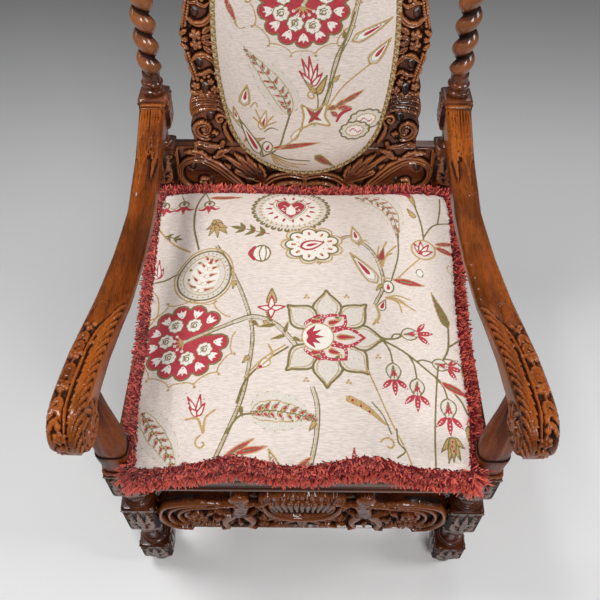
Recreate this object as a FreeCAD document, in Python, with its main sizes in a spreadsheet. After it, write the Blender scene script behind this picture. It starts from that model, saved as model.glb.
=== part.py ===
import FreeCAD, Part
import Sketcher
import math
import os

# Carved high-back armchair with barley-twist posts, an oval upholstered back, scroll arms and a
# loose seat cushion. Millimetres and degrees, +Z up, the sitter faces -Y, +X is the right-hand
# side seen from the front. The origin is on the floor under the middle of the chair.

SIZES = (
    # Plan of the seat frame, centre to centre of the legs
    ("front_leg_spread", 556.0),
    ("back_post_spread", 518.0),
    ("leg_depth", 532.0),
    ("rake_angle", 9.0),
    # Joints and clearances
    ("tenon_thick", 9.0),
    ("tenon_shoulder", 9.0),
    ("tenon_web", 2.0),
    ("fit_gap", 0.2),
    ("end_gap", 0.5),
    ("soft_gap", 0.3),
    ("overrun", 3.0),
    # Front legs, from the floor up
    ("leg_side", 56.0),
    ("foot_tall", 42.0),
    ("foot_radius", 24.0),
    ("low_block_tall", 60.0),
    ("low_turning_tall", 94.0),
    ("mid_block_tall", 97.0),
    ("high_turning_tall", 62.0),
    ("seat_block_tall", 85.0),
    ("cup_radius", 26.0),
    # Back posts, from the seat up along their lean
    ("post_side", 50.0),
    ("post_foot_side", 40.0),
    ("post_splay", 40.0),
    ("carved_block_tall", 137.0),
    ("vase_tall", 42.0),
    ("vase_radius", 21.0),
    ("arm_block_tall", 60.0),
    ("twist_ring_tall", 36.0),
    ("twist_length", 263.0),
    ("twist_pitch", 38.0),
    ("twist_core_radius", 13.5),
    ("twist_throw", 5.0),
    ("top_ring_tall", 14.0),
    ("top_block_tall", 104.0),
    # Seat rails
    ("rail_tall", 70.0),
    ("rail_thick", 28.0),
    ("rail_setback", 5.0),
    ("rail_bead", 3.0),
    ("rail_bead_tall", 12.0),
    ("corner_brace", 60.0),
    ("corner_block_tall", 45.0),
    ("corner_block_drop", 8.0),
    # Screws and dowels
    ("screw_radius", 2.0),
    ("screw_head_radius", 4.5),
    ("screw_head_tall", 3.0),
    ("screw_bite", 12.0),
    ("screw_block_wall", 12.0),
    ("arm_screw_radius", 2.5),
    ("arm_screw_bite", 32.0),
    ("arm_screw_sink", 6.0),
    ("dowel_radius", 4.0),
    ("dowel_half", 14.0),
    # Carved front stretcher
    ("stretcher_drop", 16.0),
    ("stretcher_tall", 175.0),
    ("stretcher_thick", 34.0),
    ("stretcher_end_low", 24.0),
    ("stretcher_end_high", 80.0),
    # Turned stretchers
    ("spigot_radius", 8.0),
    ("spigot_long", 18.0),
    ("spindle_clear", 2.5),
    ("spindle_radius", 15.0),
    ("spindle_drum_radius", 17.0),
    ("spindle_drum_long", 46.0),
    ("cross_spigot_radius", 7.0),
    ("cross_spigot_long", 11.0),
    ("rear_stretcher_rise", 215.0),
    # Arms: rises are above the seat, the other lengths are back from the front legs
    ("arm_waist_back", 330.0),
    ("arm_waist_rise", 210.0),
    ("arm_swell_back", 60.0),
    ("arm_swell_rise", 228.0),
    ("arm_thick", 34.0),
    ("arm_top_drop", 4.0),
    ("arm_bow", 6.0),
    ("scroll_radius", 38.0),
    ("scroll_rise", 202.0),
    ("scroll_reach", 36.0),
    ("arm_back_wide", 43.0),
    ("arm_waist_wide", 40.0),
    ("arm_front_wide", 44.0),
    ("arm_back_out", 3.0),
    ("arm_waist_in", 2.0),
    ("arm_middle_back", 150.0),
    ("arm_middle_in", 6.0),
    ("arm_front_out", 21.0),
    # Arm supports
    ("support_rise", 196.0),
    ("support_out", 2.0),
    ("support_foot_wide", 48.0),
    ("support_top_wide", 38.0),
    ("support_foot_deep", 40.0),
    ("support_top_deep", 25.0),
    ("support_lean", 22.0),
    ("support_bow", 3.0),
    # Back frame around the oval, heights along the lean from the seat
    ("oval_half_wide", 144.0),
    ("oval_half_tall", 258.0),
    ("oval_end_narrower", 13.0),
    ("oval_rise", 343.0),
    ("frame_side_wide", 55.0),
    ("frame_thick", 30.0),
    ("frame_leaf", 6.0),
    ("frame_notch", 5.0),
    ("rebate_wide", 8.0),
    ("rebate_deep", 13.0),
    ("low_rail_rise", 30.0),
    ("low_rail_tall", 103.0),
    ("frame_dowel_inside", 14.0),
    ("pierce_radius", 6.0),
    # Crest and finials
    ("crest_tall", 144.0),
    ("finial_tall", 88.0),
    ("finial_radius", 21.0),
    ("finial_spigot_radius", 5.0),
    # Back upholstery
    ("pad_edge", 5.0),
    ("pad_crown", 18.0),
    ("backing_thick", 2.7),
    ("cover_thick", 3.0),
    ("gimp_wide", 10.0),
    ("gimp_lap", 3.0),
    ("gimp_thick", 3.0),
    # Seat upholstery
    ("strap_wide", 50.0),
    ("strap_thick", 1.5),
    ("strap_pitch", 92.0),
    ("strap_inset", 6.0),
    ("strap_end_room", 55.5),
    ("tack_radius", 1.0),
    ("tack_head_radius", 2.6),
    ("tack_head_tall", 1.0),
    ("tack_long", 10.0),
    ("tack_edge", 7.0),
    ("deck_thick", 8.0),
    ("deck_inset", 5.0),
    # Loose cushion and its fringe
    ("cushion_tall", 56.0),
    ("cushion_low_seam", 14.0),
    ("cushion_high_seam", 37.0),
    ("cushion_overhang", 8.0),
    ("cushion_side_room", 9.0),
    ("cushion_back_room", 0.7),
    ("cushion_spread", 7.0),
    ("cushion_draw", 5.0),
    ("cushion_corner", 24.0),
    ("fringe_thick", 8.0),
    ("fringe_high_drop", 14.0),
    ("fringe_low_drop", 13.0),
)

# Profiles, in shares of a radius and a height from the bottom up. A third share bows the run
# that starts there outwards, in shares of the radius.
FOOT_SHARES = ((0, 0), (0.75, 0, 0.25), (0.62, 0.8, -0.05), (0.85, 1), (0, 1))
CUP_SHARES = (
    (0, 0), (0.75, 0), (0.75, 0.06), (0.65, 0.08, 0.15), (0.65, 0.24), (0.7, 0.27), (0.7, 0.31),
    (0.54, 0.34, 0.06), (0.66, 0.62, 0.06), (0.96, 0.84), (1, 0.85), (1, 0.93), (0.9, 0.95), (0.9, 1), (0, 1))
VASE_SHARES = ((0, 0), (0.85, 0), (0.85, 0.1), (0.7, 0.14, 0.25), (0.62, 0.7, -0.06), (0.9, 1), (0, 1))
RINGS_SHARES = ((0, 0), (0.9, 0, 0.1), (0.9, 0.3), (0.8, 0.36), (0.8, 0.6), (0.9, 0.66, 0.1), (0.9, 1), (0, 1))
FINIAL_SHARES = (
    (0.85, 0, 0.12), (0.85, 0.1), (0.4, 0.2), (0.45, 0.28, 0.42), (0.35, 0.7), (0.3, 0.76, 0.18),
    (0.12, 0.92), (0, 1))
# Half of a turned stretcher, from the spigot to the drum
SPINDLE_SHARES = (
    (0.75, 0, 0.2), (0.75, 0.08), (0.6, 0.12, 0.25), (0.7, 0.8), (0.75, 0.82, 0.2), (0.75, 0.94), (0.7, 1))
# Right half of a board's edge, in shares of its half width and height
STRETCHER_EDGE_SHARES = (
    (0.86, 0.765, 0.02), (0.64, 0.77, -0.03), (0.5, 0.78, 0.04), (0.47, 0.97, 0.03), (0.33, 0.96, -0.02),
    (0.2, 0.9, 0.03), (0, 1))
CREST_EDGE_SHARES = (
    (0.76, 0.3, 0.05), (0.56, 0.42, -0.02), (0.5, 0.5, 0.05), (0.34, 0.66, -0.02), (0.26, 0.66, 0.03),
    (0.16, 0.9, 0.03), (0, 1))
LOW_RAIL_EDGE_SHARES = ((0, 0, -0.03), (0.3, 0, 0.02), (0.62, 0, -0.03), (0.88, 0))
# Pierced holes: across, up, and the two radii. Those in the sides are counted across from the oval
LOW_RAIL_HOLE_SHARES = ((0.88, 0.6, 1, 1.3), (0.73, 0.3, 1.5, 0.8), (0.56, 0.58, 0.8, 1.4))
SIDE_HOLE_SHARES = (
    (0.5658, 0.21, 1, 1.3), (0.4573, 0.43, 1, 1.5), (0.3849, 0.7, 1, 1.4), (0.3487, 0.88, 1, 1.2))
CREST_HOLE_SHARES = ((0.87, 0.2, 1, 1.3), (0.62, 0.36, 1.4, 0.8), (0.52, 0.56, 1.3, 0.8), (0.2, 0.72, 0.9, 1.4))
SIDE_LEAF_SHARES = (0, 0.17, 0.31, 0.69, 0.83, 1)
# Rise of a crown over insets counted in seams or corners
PAD_CROWN_SHARES = ((1, 0), (5, 0.45), (12, 0.85), (20, 1))
CUSHION_CROWN_SHARES = ((0, 0), (1, 0.45), (3, 0.85), (6, 1))
QUARTER_BOW_SHARE = 1 - math.cos(math.pi / 4)
EIGHTH_BOW_SHARE = 1 - math.cos(math.pi / 8)
CORNER_SHARE = math.cos(math.pi / 4)
TWIST_SECTIONS_PER_TURN = 8

doc = FreeCAD.newDocument("Armchair")
sheet = doc.addObject("Spreadsheet::Sheet", "Sizes")
for row, (name, amount) in enumerate(SIZES, 1):
    sheet.set("A%d" % row, name)
    sheet.set("B%d" % row, str(amount))
    sheet.setAlias("B%d" % row, name)
doc.recompute()


class Size:
    """A length or angle that knows its value now and its formula in the sheet."""

    def __init__(self, value, formula):
        self.value = float(value)
        self.formula = formula

    def joined(self, other, sign, value):
        return Size(value, "(%s %s %s)" % (self.formula, sign, other.formula))

    def __add__(self, other):
        other = sized(other)
        return self.joined(other, "+", self.value + other.value)

    def __sub__(self, other):
        other = sized(other)
        return self.joined(other, "-", self.value - other.value)

    def __mul__(self, other):
        other = sized(other)
        if other.formula == "0.0":
            return other
        return self.joined(other, "*", self.value * other.value)

    def __truediv__(self, other):
        other = sized(other)
        return self.joined(other, "/", self.value / other.value)

    def __radd__(self, other):
        return sized(other) + self

    def __rsub__(self, other):
        return sized(other) - self

    def __rmul__(self, other):
        return self * other

    def __neg__(self):
        return sized(0) - self


def sized(amount):
    return amount if isinstance(amount, Size) else Size(amount, repr(float(amount)))


def sine(angle):
    return Size(math.sin(math.radians(angle.value)), "sin(%s)" % angle.formula)


def cosine(angle):
    return Size(math.cos(math.radians(angle.value)), "cos(%s)" % angle.formula)


class Sheet:
    """The sheet's cells, by name."""


s = Sheet()
for name, amount in SIZES:
    setattr(s, name, Size(sheet.get(name), "Sizes." + name))


def drive(item, **amounts):
    """Sets properties and binds each to its formula."""
    for name, amount in amounts.items():
        setattr(item, name, amount.value)
        item.setExpression(name, amount.formula)


def vector(x, y, z):
    return FreeCAD.Vector(sized(x).value, sized(y).value, sized(z).value)


def put(item, x=0, y=0, z=0, axis=(0, 0, 1), angle=0):
    """Places a piece and binds its place to the sheet."""
    turn = FreeCAD.Rotation(FreeCAD.Vector(*axis), sized(angle).value)
    item.Placement = FreeCAD.Placement(vector(x, y, z), turn)
    for path, amount in (("Base.x", x), ("Base.y", y), ("Base.z", z), ("Rotation.Angle", angle)):
        if isinstance(amount, Size):
            item.setExpression("Placement." + path, amount.formula)
    return item


def block(name, wide, deep, tall, x, y, z):
    """A box centred on x and y, standing on z."""
    item = doc.addObject("Part::Box", name)
    drive(item, Length=wide, Width=deep, Height=tall)
    return put(item, x - wide / 2, y - deep / 2, z)


def rod(name, radius, start, end):
    """A round bar from one point to another."""
    start, end = vector(*start), vector(*end)
    item = doc.addObject("Part::Cylinder", name)
    drive(item, Radius=radius)
    item.Height = (end - start).Length
    item.Placement = FreeCAD.Placement(start, FreeCAD.Rotation(FreeCAD.Vector(0, 0, 1), end - start))
    return item


def fuse(name, items):
    item = doc.addObject("Part::MultiFuse", name)
    item.Shapes = items
    return item


def common(name, items):
    item = doc.addObject("Part::MultiCommon", name)
    item.Shapes = items
    return item


def group(name, items):
    item = doc.addObject("Part::Compound", name)
    item.Links = items
    return item


def cut(name, base, tools):
    item = doc.addObject("Part::Cut", name)
    item.Base = base
    item.Tool = tools[0] if len(tools) == 1 else group(name + "_tools", tools)
    return item


def mirrored(name, source):
    item = doc.addObject("Part::Mirroring", name)
    item.Source = source
    item.Normal = FreeCAD.Vector(1, 0, 0)
    return item


def solid_of(name, shape):
    item = doc.addObject("Part::Feature", name)
    item.Shape = shape
    return item


def bind(sketch, kind, what, amount):
    index = sketch.addConstraint(Sketcher.Constraint(kind, *what, amount.value))
    if "Sizes." in amount.formula:
        sketch.setExpression("Constraints[%d]" % index, amount.formula)


def draw(body, role, outline):
    """A closed sketch on one of the body's planes. Each point is (across, up) or (across, up,
    bow), where the bow pushes the run that starts there out to the right of its way."""
    sketch = body.newObject("Sketcher::SketchObject", body.Name + "_outline")
    plane = [item for item in body.Origin.OriginFeatures if item.Role == role][0]
    sketch.AttachmentSupport = [(plane, "")]
    sketch.MapMode = "FlatFace"
    points = [(sized(point[0]), sized(point[1])) for point in outline]
    starts, ends = [], []
    for index, point in enumerate(outline):
        here, there = points[index], points[(index + 1) % len(points)]
        if len(point) == 2:
            line = sketch.addGeometry(Part.LineSegment(vector(*here, 0), vector(*there, 0)), False)
            starts.append((line, 1))
            ends.append((line, 2))
            continue
        bow = sized(point[2])
        way = 1 if bow.value > 0 else -1
        across, up = there[0] - here[0], there[1] - here[1]
        chord = math.hypot(across.value, up.value)
        radius = (across * across + up * up) / (8 * way * bow) + way * bow / 2
        back = (way * bow.value - radius.value) * way / chord
        centre_x = (here[0].value + there[0].value) / 2 + up.value * back
        centre_y = (here[1].value + there[1].value) / 2 - across.value * back
        circle = Part.Circle(FreeCAD.Vector(centre_x, centre_y, 0), FreeCAD.Vector(0, 0, 1), radius.value)
        angles = [math.atan2(at[1].value - centre_y, at[0].value - centre_x) for at in (here, there)]
        arc = sketch.addGeometry(Part.ArcOfCircle(circle, *angles[::way]), False)
        starts.append((arc, 1 if way > 0 else 2))
        ends.append((arc, 2 if way > 0 else 1))
        bind(sketch, "Radius", (arc,), radius)
    for index, point in enumerate(points):
        sketch.addConstraint(Sketcher.Constraint("Coincident", *ends[index - 1], *starts[index]))
        bind(sketch, "DistanceX", (-1, 1, *starts[index]), point[0])
        bind(sketch, "DistanceY", (-1, 1, *starts[index]), point[1])
    return sketch


def slab(name, role, outline, thick):
    """A board of one outline, its middle plane on the sketch plane."""
    body = doc.addObject("PartDesign::Body", name)
    sketch = draw(body, role, outline)
    pad = body.newObject("PartDesign::Pad", name + "_pad")
    pad.Profile = sketch
    pad.SideType = "Symmetric"
    drive(pad, Length=thick)
    return body


def turned(name, outline):
    """A lathe turning about Z, from the right half of its outline."""
    body = doc.addObject("PartDesign::Body", name)
    sketch = draw(body, "XZ_Plane", outline)
    turning = body.newObject("PartDesign::Revolution", name + "_turning")
    turning.Profile = sketch
    turning.ReferenceAxis = (sketch, ["V_Axis"])
    turning.Angle = 360.0
    return body


def shaped(across, up, shares, bottom=0):
    """Points from shares of a width and a height."""
    outline = []
    for share in shares:
        bow = tuple(across * amount for amount in share[2:])
        outline.append((across * share[0], bottom + up * share[1]) + bow)
    return outline


def both_halves(half):
    """Completes an outline from its right half, which runs up from the middle to the middle."""
    right = [point[:2] for point in half]
    bows = [point[2:] for point in half[:-1]]
    left = [(-point[0], point[1]) for point in reversed(right[1:-1])]
    return [point + bow for point, bow in zip(right + left, bows + bows[::-1])]


nodes = {}


def keep(label, item):
    """Names a finished piece."""
    item.Label = label
    nodes[label] = item


def keep_pair(label, item):
    """Keeps a right-hand piece and its mirror image."""
    keep(label + "_right", item)
    keep(label + "_left", mirrored(label + "_mirror", item))


def with_mirror(name, items):
    """Right-hand pieces and their mirror images as one piece."""
    return group(name, items + [mirrored(item.Name + "_mirror", item) for item in items])


leg_half = s.leg_side / 2
post_half = s.post_side / 2
front_x = s.front_leg_spread / 2
back_x = s.back_post_spread / 2
low_block_top = s.foot_tall + s.low_block_tall
mid_block_bottom = low_block_top + s.low_turning_tall
mid_block_top = mid_block_bottom + s.mid_block_tall
seat_block_bottom = mid_block_top + s.high_turning_tall
seat_top = seat_block_bottom + s.seat_block_tall
rail_bottom = seat_top - s.rail_tall
rail_half = s.rail_thick / 2
front_rail_y = s.rail_setback + rail_half - leg_half
front_inner_x = front_x - leg_half
back_inner_x = back_x - post_half
post_front_y = s.leg_depth - post_half
side_slope = (front_x - back_x) / (post_front_y - leg_half)
tenon_long = post_half - s.tenon_thick / 2 - s.tenon_web
tenon_bottom = rail_bottom + s.tenon_shoulder
tenon_tall = s.rail_tall - 2 * s.tenon_shoulder
mortise_long = tenon_long + s.end_gap + s.overrun
mortise_thick = s.tenon_thick + 2 * s.fit_gap
arm_block_bottom = s.carved_block_tall + s.vase_tall
arm_block_top = arm_block_bottom + s.arm_block_tall
arm_screw_rise = arm_block_bottom + s.arm_block_tall / 2
twist_bottom = arm_block_top + s.twist_ring_tall
twist_top = twist_bottom + s.twist_length
top_block_bottom = twist_top + s.top_ring_tall
top_block_top = top_block_bottom + s.top_block_tall
low_rail_top = s.low_rail_rise + s.low_rail_tall
low_spindle_z = s.foot_tall + s.low_block_tall / 2


def side_x(y):
    """Middle line of the right side rail."""
    return front_x - (y - leg_half) * side_slope


def lean(item, x=0):
    """Stands a piece of the back on the seat line and tips it to the rake."""
    return put(item, x, s.leg_depth, seat_top, (-1, 0, 0), s.rake_angle)


def leaned(y, rise):
    """Depth and height of a point of the leaning back."""
    return (s.leg_depth + y * cosine(s.rake_angle) + rise * sine(s.rake_angle),
            seat_top - y * sine(s.rake_angle) + rise * cosine(s.rake_angle))


def tenon(name, inner_x, y, z, tall, side=1):
    """A tenon that runs across the chair into a leg or post."""
    return block(name, tenon_long, s.tenon_thick, tall, side * (inner_x + tenon_long / 2), y, z)


def mortise(name, inner_x, y, z, tall):
    """The hole for such a tenon."""
    return block(name, mortise_long, mortise_thick, tall + 2 * s.fit_gap,
                 inner_x + mortise_long / 2 - s.overrun, y, z - s.fit_gap)


def hole(name, radius, start, end):
    """The hole for a round pin."""
    return rod(name, radius + s.fit_gap, start, end)


# Front legs. Each is one length of wood: bun foot, three square blocks and two turned cups.
stretcher_bottom = mid_block_bottom - s.stretcher_drop
stretcher_y = s.rail_setback + s.stretcher_thick / 2 - leg_half
stretcher_tenon_bottom = stretcher_bottom + s.stretcher_end_low + s.tenon_shoulder
stretcher_tenon_tall = s.stretcher_end_high - s.stretcher_end_low - 2 * s.tenon_shoulder
spindle_front_y = leg_half - s.spigot_long
post_foot_half = s.post_foot_side / 2
post_foot_slope = s.post_splay / seat_block_bottom
spindle_back_y = s.leg_depth + s.post_splay - post_foot_slope * low_spindle_z - post_foot_half + s.spigot_long
rear_spindle_y = s.leg_depth + s.post_splay - post_foot_slope * s.rear_stretcher_rise
spindle_front = vector(front_x, spindle_front_y, low_spindle_z)
spindle_back = vector(back_x, spindle_back_y, low_spindle_z)
spindle_way = (spindle_back - spindle_front).normalize()
support_x = front_x + s.support_out
support_y = s.support_foot_deep / 2 - leg_half
leg_wood = fuse("front_leg_wood", [
    put(turned("front_foot", shaped(s.foot_radius, s.foot_tall, FOOT_SHARES)), front_x),
    put(turned("low_cup", shaped(s.cup_radius, s.low_turning_tall, CUP_SHARES)), front_x, 0, low_block_top),
    put(turned("high_cup", shaped(s.cup_radius, s.high_turning_tall, CUP_SHARES)), front_x, 0, mid_block_top),
    block("low_block", s.leg_side, s.leg_side, s.low_block_tall, front_x, 0, s.foot_tall),
    block("mid_block", s.leg_side, s.leg_side, s.mid_block_tall, front_x, 0, mid_block_bottom),
    block("seat_block", s.leg_side, s.leg_side, s.seat_block_tall, front_x, 0, seat_block_bottom)])
keep_pair("front_leg", cut("front_leg", leg_wood, [
    mortise("front_rail_mortise", front_inner_x, front_rail_y, tenon_bottom, tenon_tall),
    mortise("stretcher_mortise", front_inner_x, stretcher_y, stretcher_tenon_bottom, stretcher_tenon_tall),
    block("side_rail_mortise", mortise_thick, mortise_long, tenon_tall + 2 * s.fit_gap,
          front_x, leg_half - mortise_long / 2 + s.overrun, tenon_bottom - s.fit_gap),
    hole("front_spindle_hole", s.spigot_radius, spindle_front - spindle_way * s.end_gap.value,
         spindle_front + spindle_way * (s.spigot_long + s.overrun).value),
    hole("support_foot_hole", s.dowel_radius, (support_x, support_y, seat_top - s.dowel_half - s.end_gap),
         (support_x, support_y, seat_top + s.overrun))]))

# Back posts. Each is one length of wood: a plain splayed leg below the seat, and above it the
# leaning post with its carved block, vase, arm block, barley twist and top block.
front_lap_y, front_lap_z = leaned(-post_half, 0)
back_lap_y, back_lap_z = leaned(post_half, 0)
lower_post = slab("lower_post", "YZ_Plane", [
    (s.post_splay - post_foot_half, 0), (s.post_splay + post_foot_half, 0), (post_half, seat_block_bottom),
    (back_lap_y - s.leg_depth, back_lap_z), (front_lap_y - s.leg_depth, front_lap_z),
    (-post_half, seat_top), (-post_half, seat_block_bottom)], s.post_side)
put(lower_post, back_x, s.leg_depth)


def twist(name, bottom, length):
    """One-start barley twist: a round bar whose middle circles the axis."""
    throw, core = s.twist_throw.value, s.twist_core_radius.value
    turns = length.value / s.twist_pitch.value
    sections = max(2, round(turns * TWIST_SECTIONS_PER_TURN))
    rings = []
    for step in range(sections + 1):
        angle = 2 * math.pi * turns * step / sections
        height = bottom.value + length.value * step / sections
        centre = FreeCAD.Vector(throw * math.cos(angle), throw * math.sin(angle), height)
        rings.append(Part.Wire([Part.Circle(centre, FreeCAD.Vector(0, 0, 1), core).toShape()]))
    return solid_of(name, Part.makeLoft(rings, True, False))


ring_radius = s.twist_core_radius + s.twist_throw
low_rail_tenon_bottom = s.low_rail_rise + s.tenon_shoulder
low_rail_tenon_tall = s.low_rail_tall - 2 * s.tenon_shoulder
crest_tenon_bottom = top_block_bottom + s.tenon_shoulder
crest_tenon_tall = s.top_block_tall - 2 * s.tenon_shoulder
upper_wood = fuse("upper_post_wood", [
    block("carved_block", s.post_side, s.post_side, s.carved_block_tall, 0, 0, 0),
    put(turned("post_vase", shaped(s.vase_radius, s.vase_tall, VASE_SHARES)), 0, 0, s.carved_block_tall),
    block("arm_block", s.post_side, s.post_side, s.arm_block_tall, 0, 0, arm_block_bottom),
    put(turned("low_rings", shaped(ring_radius, s.twist_ring_tall, RINGS_SHARES)), 0, 0, arm_block_top),
    twist("twist", twist_bottom, s.twist_length),
    put(turned("high_rings", shaped(ring_radius, s.top_ring_tall, RINGS_SHARES)), 0, 0, twist_top),
    block("top_block", s.post_side, s.post_side, s.top_block_tall, 0, 0, top_block_bottom)])
upper_post = lean(cut("upper_post", upper_wood, [
    mortise("low_rail_mortise", -post_half, 0, low_rail_tenon_bottom, low_rail_tenon_tall),
    mortise("crest_mortise", -post_half, 0, crest_tenon_bottom, crest_tenon_tall),
    hole("arm_screw_hole", s.arm_screw_radius, (0, -post_half - s.overrun, arm_screw_rise),
         (0, post_half, arm_screw_rise)),
    hole("arm_screw_sinking", s.screw_head_radius, (0, post_half - s.arm_screw_sink, arm_screw_rise),
         (0, post_half + s.overrun, arm_screw_rise)),
    hole("finial_hole", s.finial_spigot_radius, (0, 0, top_block_top - s.spigot_long - s.end_gap),
         (0, 0, top_block_top + s.overrun))]), back_x)
keep_pair("back_post", cut("back_post", fuse("back_post_wood", [lower_post, upper_post]), [
    mortise("rear_rail_mortise", back_inner_x, s.leg_depth, tenon_bottom, tenon_tall),
    block("side_rail_back_mortise", mortise_thick, mortise_long, tenon_tall + 2 * s.fit_gap,
          back_x, post_front_y + mortise_long / 2 - s.overrun, tenon_bottom - s.fit_gap),
    hole("back_spindle_hole", s.spigot_radius, spindle_back + spindle_way * s.end_gap.value,
         spindle_back - spindle_way * (s.spigot_long + post_foot_half).value),
    hole("rear_spindle_hole", s.spigot_radius, (back_inner_x - s.overrun, rear_spindle_y, s.rear_stretcher_rise),
         (back_inner_x + s.spigot_long + s.end_gap, rear_spindle_y, s.rear_stretcher_rise))]))

# Seat rails, tenoned into the legs. The front one has a bead along its lower edge.
screw_z = seat_top - s.corner_block_drop - s.corner_block_tall / 2
front_corner = (front_inner_x, leg_half, front_rail_y + rail_half, 1)
back_corner = (back_inner_x, post_front_y, s.leg_depth - rail_half, -1)


def rail_with_tenons(name, board, inner_x, y, corner):
    """A rail across the chair with its tenons and the screw holes of its corner blocks."""
    leg_x, leg_y, face_y, way = corner
    tenons = [tenon(name + "_tenon", inner_x, y, tenon_bottom, tenon_tall, side) for side in (-1, 1)]
    holes = []
    for side in (-1, 1):
        x = side * (leg_x - s.corner_brace / 2)
        holes.append(hole(name + "_screw_hole", s.screw_radius, (x, face_y + way * s.overrun, screw_z),
                          (x, face_y - way * (s.screw_bite + s.end_gap), screw_z)))
    return cut(name, fuse(name + "_wood", [board] + tenons), holes)


bead_y = s.rail_bead - rail_half
front_board = slab("front_rail_board", "YZ_Plane", [
    (bead_y, 0), (rail_half, 0), (rail_half, s.rail_tall), (bead_y, s.rail_tall),
    (bead_y, s.rail_bead_tall, s.rail_bead)], 2 * front_inner_x)
put(front_board, 0, front_rail_y, rail_bottom)
keep("front_seat_rail", rail_with_tenons("front_rail", front_board, front_inner_x, front_rail_y, front_corner))
rear_board = block("rear_rail_board", 2 * back_inner_x, s.rail_thick, s.rail_tall, 0, s.leg_depth, rail_bottom)
keep("rear_seat_rail", rail_with_tenons("rear_rail", rear_board, back_inner_x, s.leg_depth, back_corner))
side_board = slab("side_rail_board", "XY_Plane", [
    (front_x - rail_half, leg_half), (front_x + rail_half, leg_half),
    (back_x + rail_half, post_front_y), (back_x - rail_half, post_front_y)], s.rail_tall)
keep_pair("side_seat_rail", fuse("side_rail", [
    put(side_board, 0, 0, rail_bottom + s.rail_tall / 2),
    block("side_rail_front_tenon", s.tenon_thick, tenon_long, tenon_tall,
          front_x, leg_half - tenon_long / 2, tenon_bottom),
    block("side_rail_back_tenon", s.tenon_thick, tenon_long, tenon_tall,
          back_x, post_front_y + tenon_long / 2, tenon_bottom)]))


# Corner blocks, glued and screwed inside the seat frame around each leg.
def corner_block(name, leg_x, leg_y, face_y, way):
    reach_y = leg_y + way * s.corner_brace
    board = put(slab(name + "_board", "XY_Plane", [
        (leg_x, face_y), (leg_x, leg_y), (side_x(leg_y) - rail_half, leg_y),
        (side_x(reach_y) - rail_half, reach_y), (leg_x - s.corner_brace, face_y)],
        s.corner_block_tall), 0, 0, screw_z)
    x, seat_y = leg_x - s.corner_brace / 2, face_y + way * s.screw_block_wall
    return cut(name, board, [
        hole(name + "_hole", s.screw_radius, (x, face_y - way * s.overrun, screw_z),
             (x, seat_y + way * s.overrun, screw_z)),
        hole(name + "_pocket", s.screw_head_radius, (x, seat_y, screw_z),
             (x, seat_y + way * s.corner_brace, screw_z))])


def corner_screw(name, leg_x, leg_y, face_y, way):
    x, seat_y = leg_x - s.corner_brace / 2, face_y + way * s.screw_block_wall
    return fuse(name, [
        rod(name + "_shank", s.screw_radius, (x, face_y - way * s.screw_bite, screw_z), (x, seat_y, screw_z)),
        rod(name + "_head", s.screw_head_radius, (x, seat_y, screw_z),
            (x, seat_y + way * s.screw_head_tall, screw_z))])


keep("seat_corner_blocks", with_mirror("corner_blocks", [
    corner_block("front_corner", *front_corner), corner_block("back_corner", *back_corner)]))
keep("corner_block_screws", with_mirror("corner_screws", [
    corner_screw("front_corner_screw", *front_corner), corner_screw("back_corner_screw", *back_corner)]))

# Carved front stretcher: one board between the middle blocks. Its top edge follows the scrolls,
# the two child figures and the crown.
stretcher_half = [
    (0, 0), (front_inner_x * 0.88, 0, s.stretcher_end_low / 4), (front_inner_x, s.stretcher_end_low),
    (front_inner_x, s.stretcher_end_high, s.stretcher_end_low / 4)]
stretcher_half += shaped(front_inner_x, s.stretcher_tall, STRETCHER_EDGE_SHARES)
stretcher_board = slab("stretcher_board", "XZ_Plane", both_halves(stretcher_half), s.stretcher_thick)
keep("carved_front_stretcher", fuse("front_stretcher", [
    put(stretcher_board, 0, stretcher_y, stretcher_bottom),
    tenon("stretcher_tenon", front_inner_x, stretcher_y, stretcher_tenon_bottom, stretcher_tenon_tall),
    tenon("stretcher_tenon", front_inner_x, stretcher_y, stretcher_tenon_bottom, stretcher_tenon_tall, -1)]))


# Turned stretchers: a low one each side with a drum at its middle, a cross stretcher between
# the two drums, and a rear stretcher between the back posts.
def spindle(name, total, spigot_radius, spigot_long):
    """A turned stretcher along Z, standing on the end of its spigot."""
    neck = spigot_long + s.spindle_clear
    drum = (total - s.spindle_drum_long) / 2
    half = [(0, 0), (spigot_radius, 0), (spigot_radius, neck)]
    half += shaped(s.spindle_radius, drum - neck, SPINDLE_SHARES, neck)
    half += [(s.spindle_drum_radius, drum)]
    bows = [point[2:] for point in half]
    points = [point[:2] for point in half]
    points += [(point[0], total - point[1]) for point in reversed(points)]
    bows += bows[-2::-1] + [()]
    return turned(name, [point + bow for point, bow in zip(points, bows)])


def laid(item, start, end):
    """Lays a turning between two points."""
    item.Placement = FreeCAD.Placement(start, FreeCAD.Rotation(FreeCAD.Vector(0, 0, 1), end - start))
    return item


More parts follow.
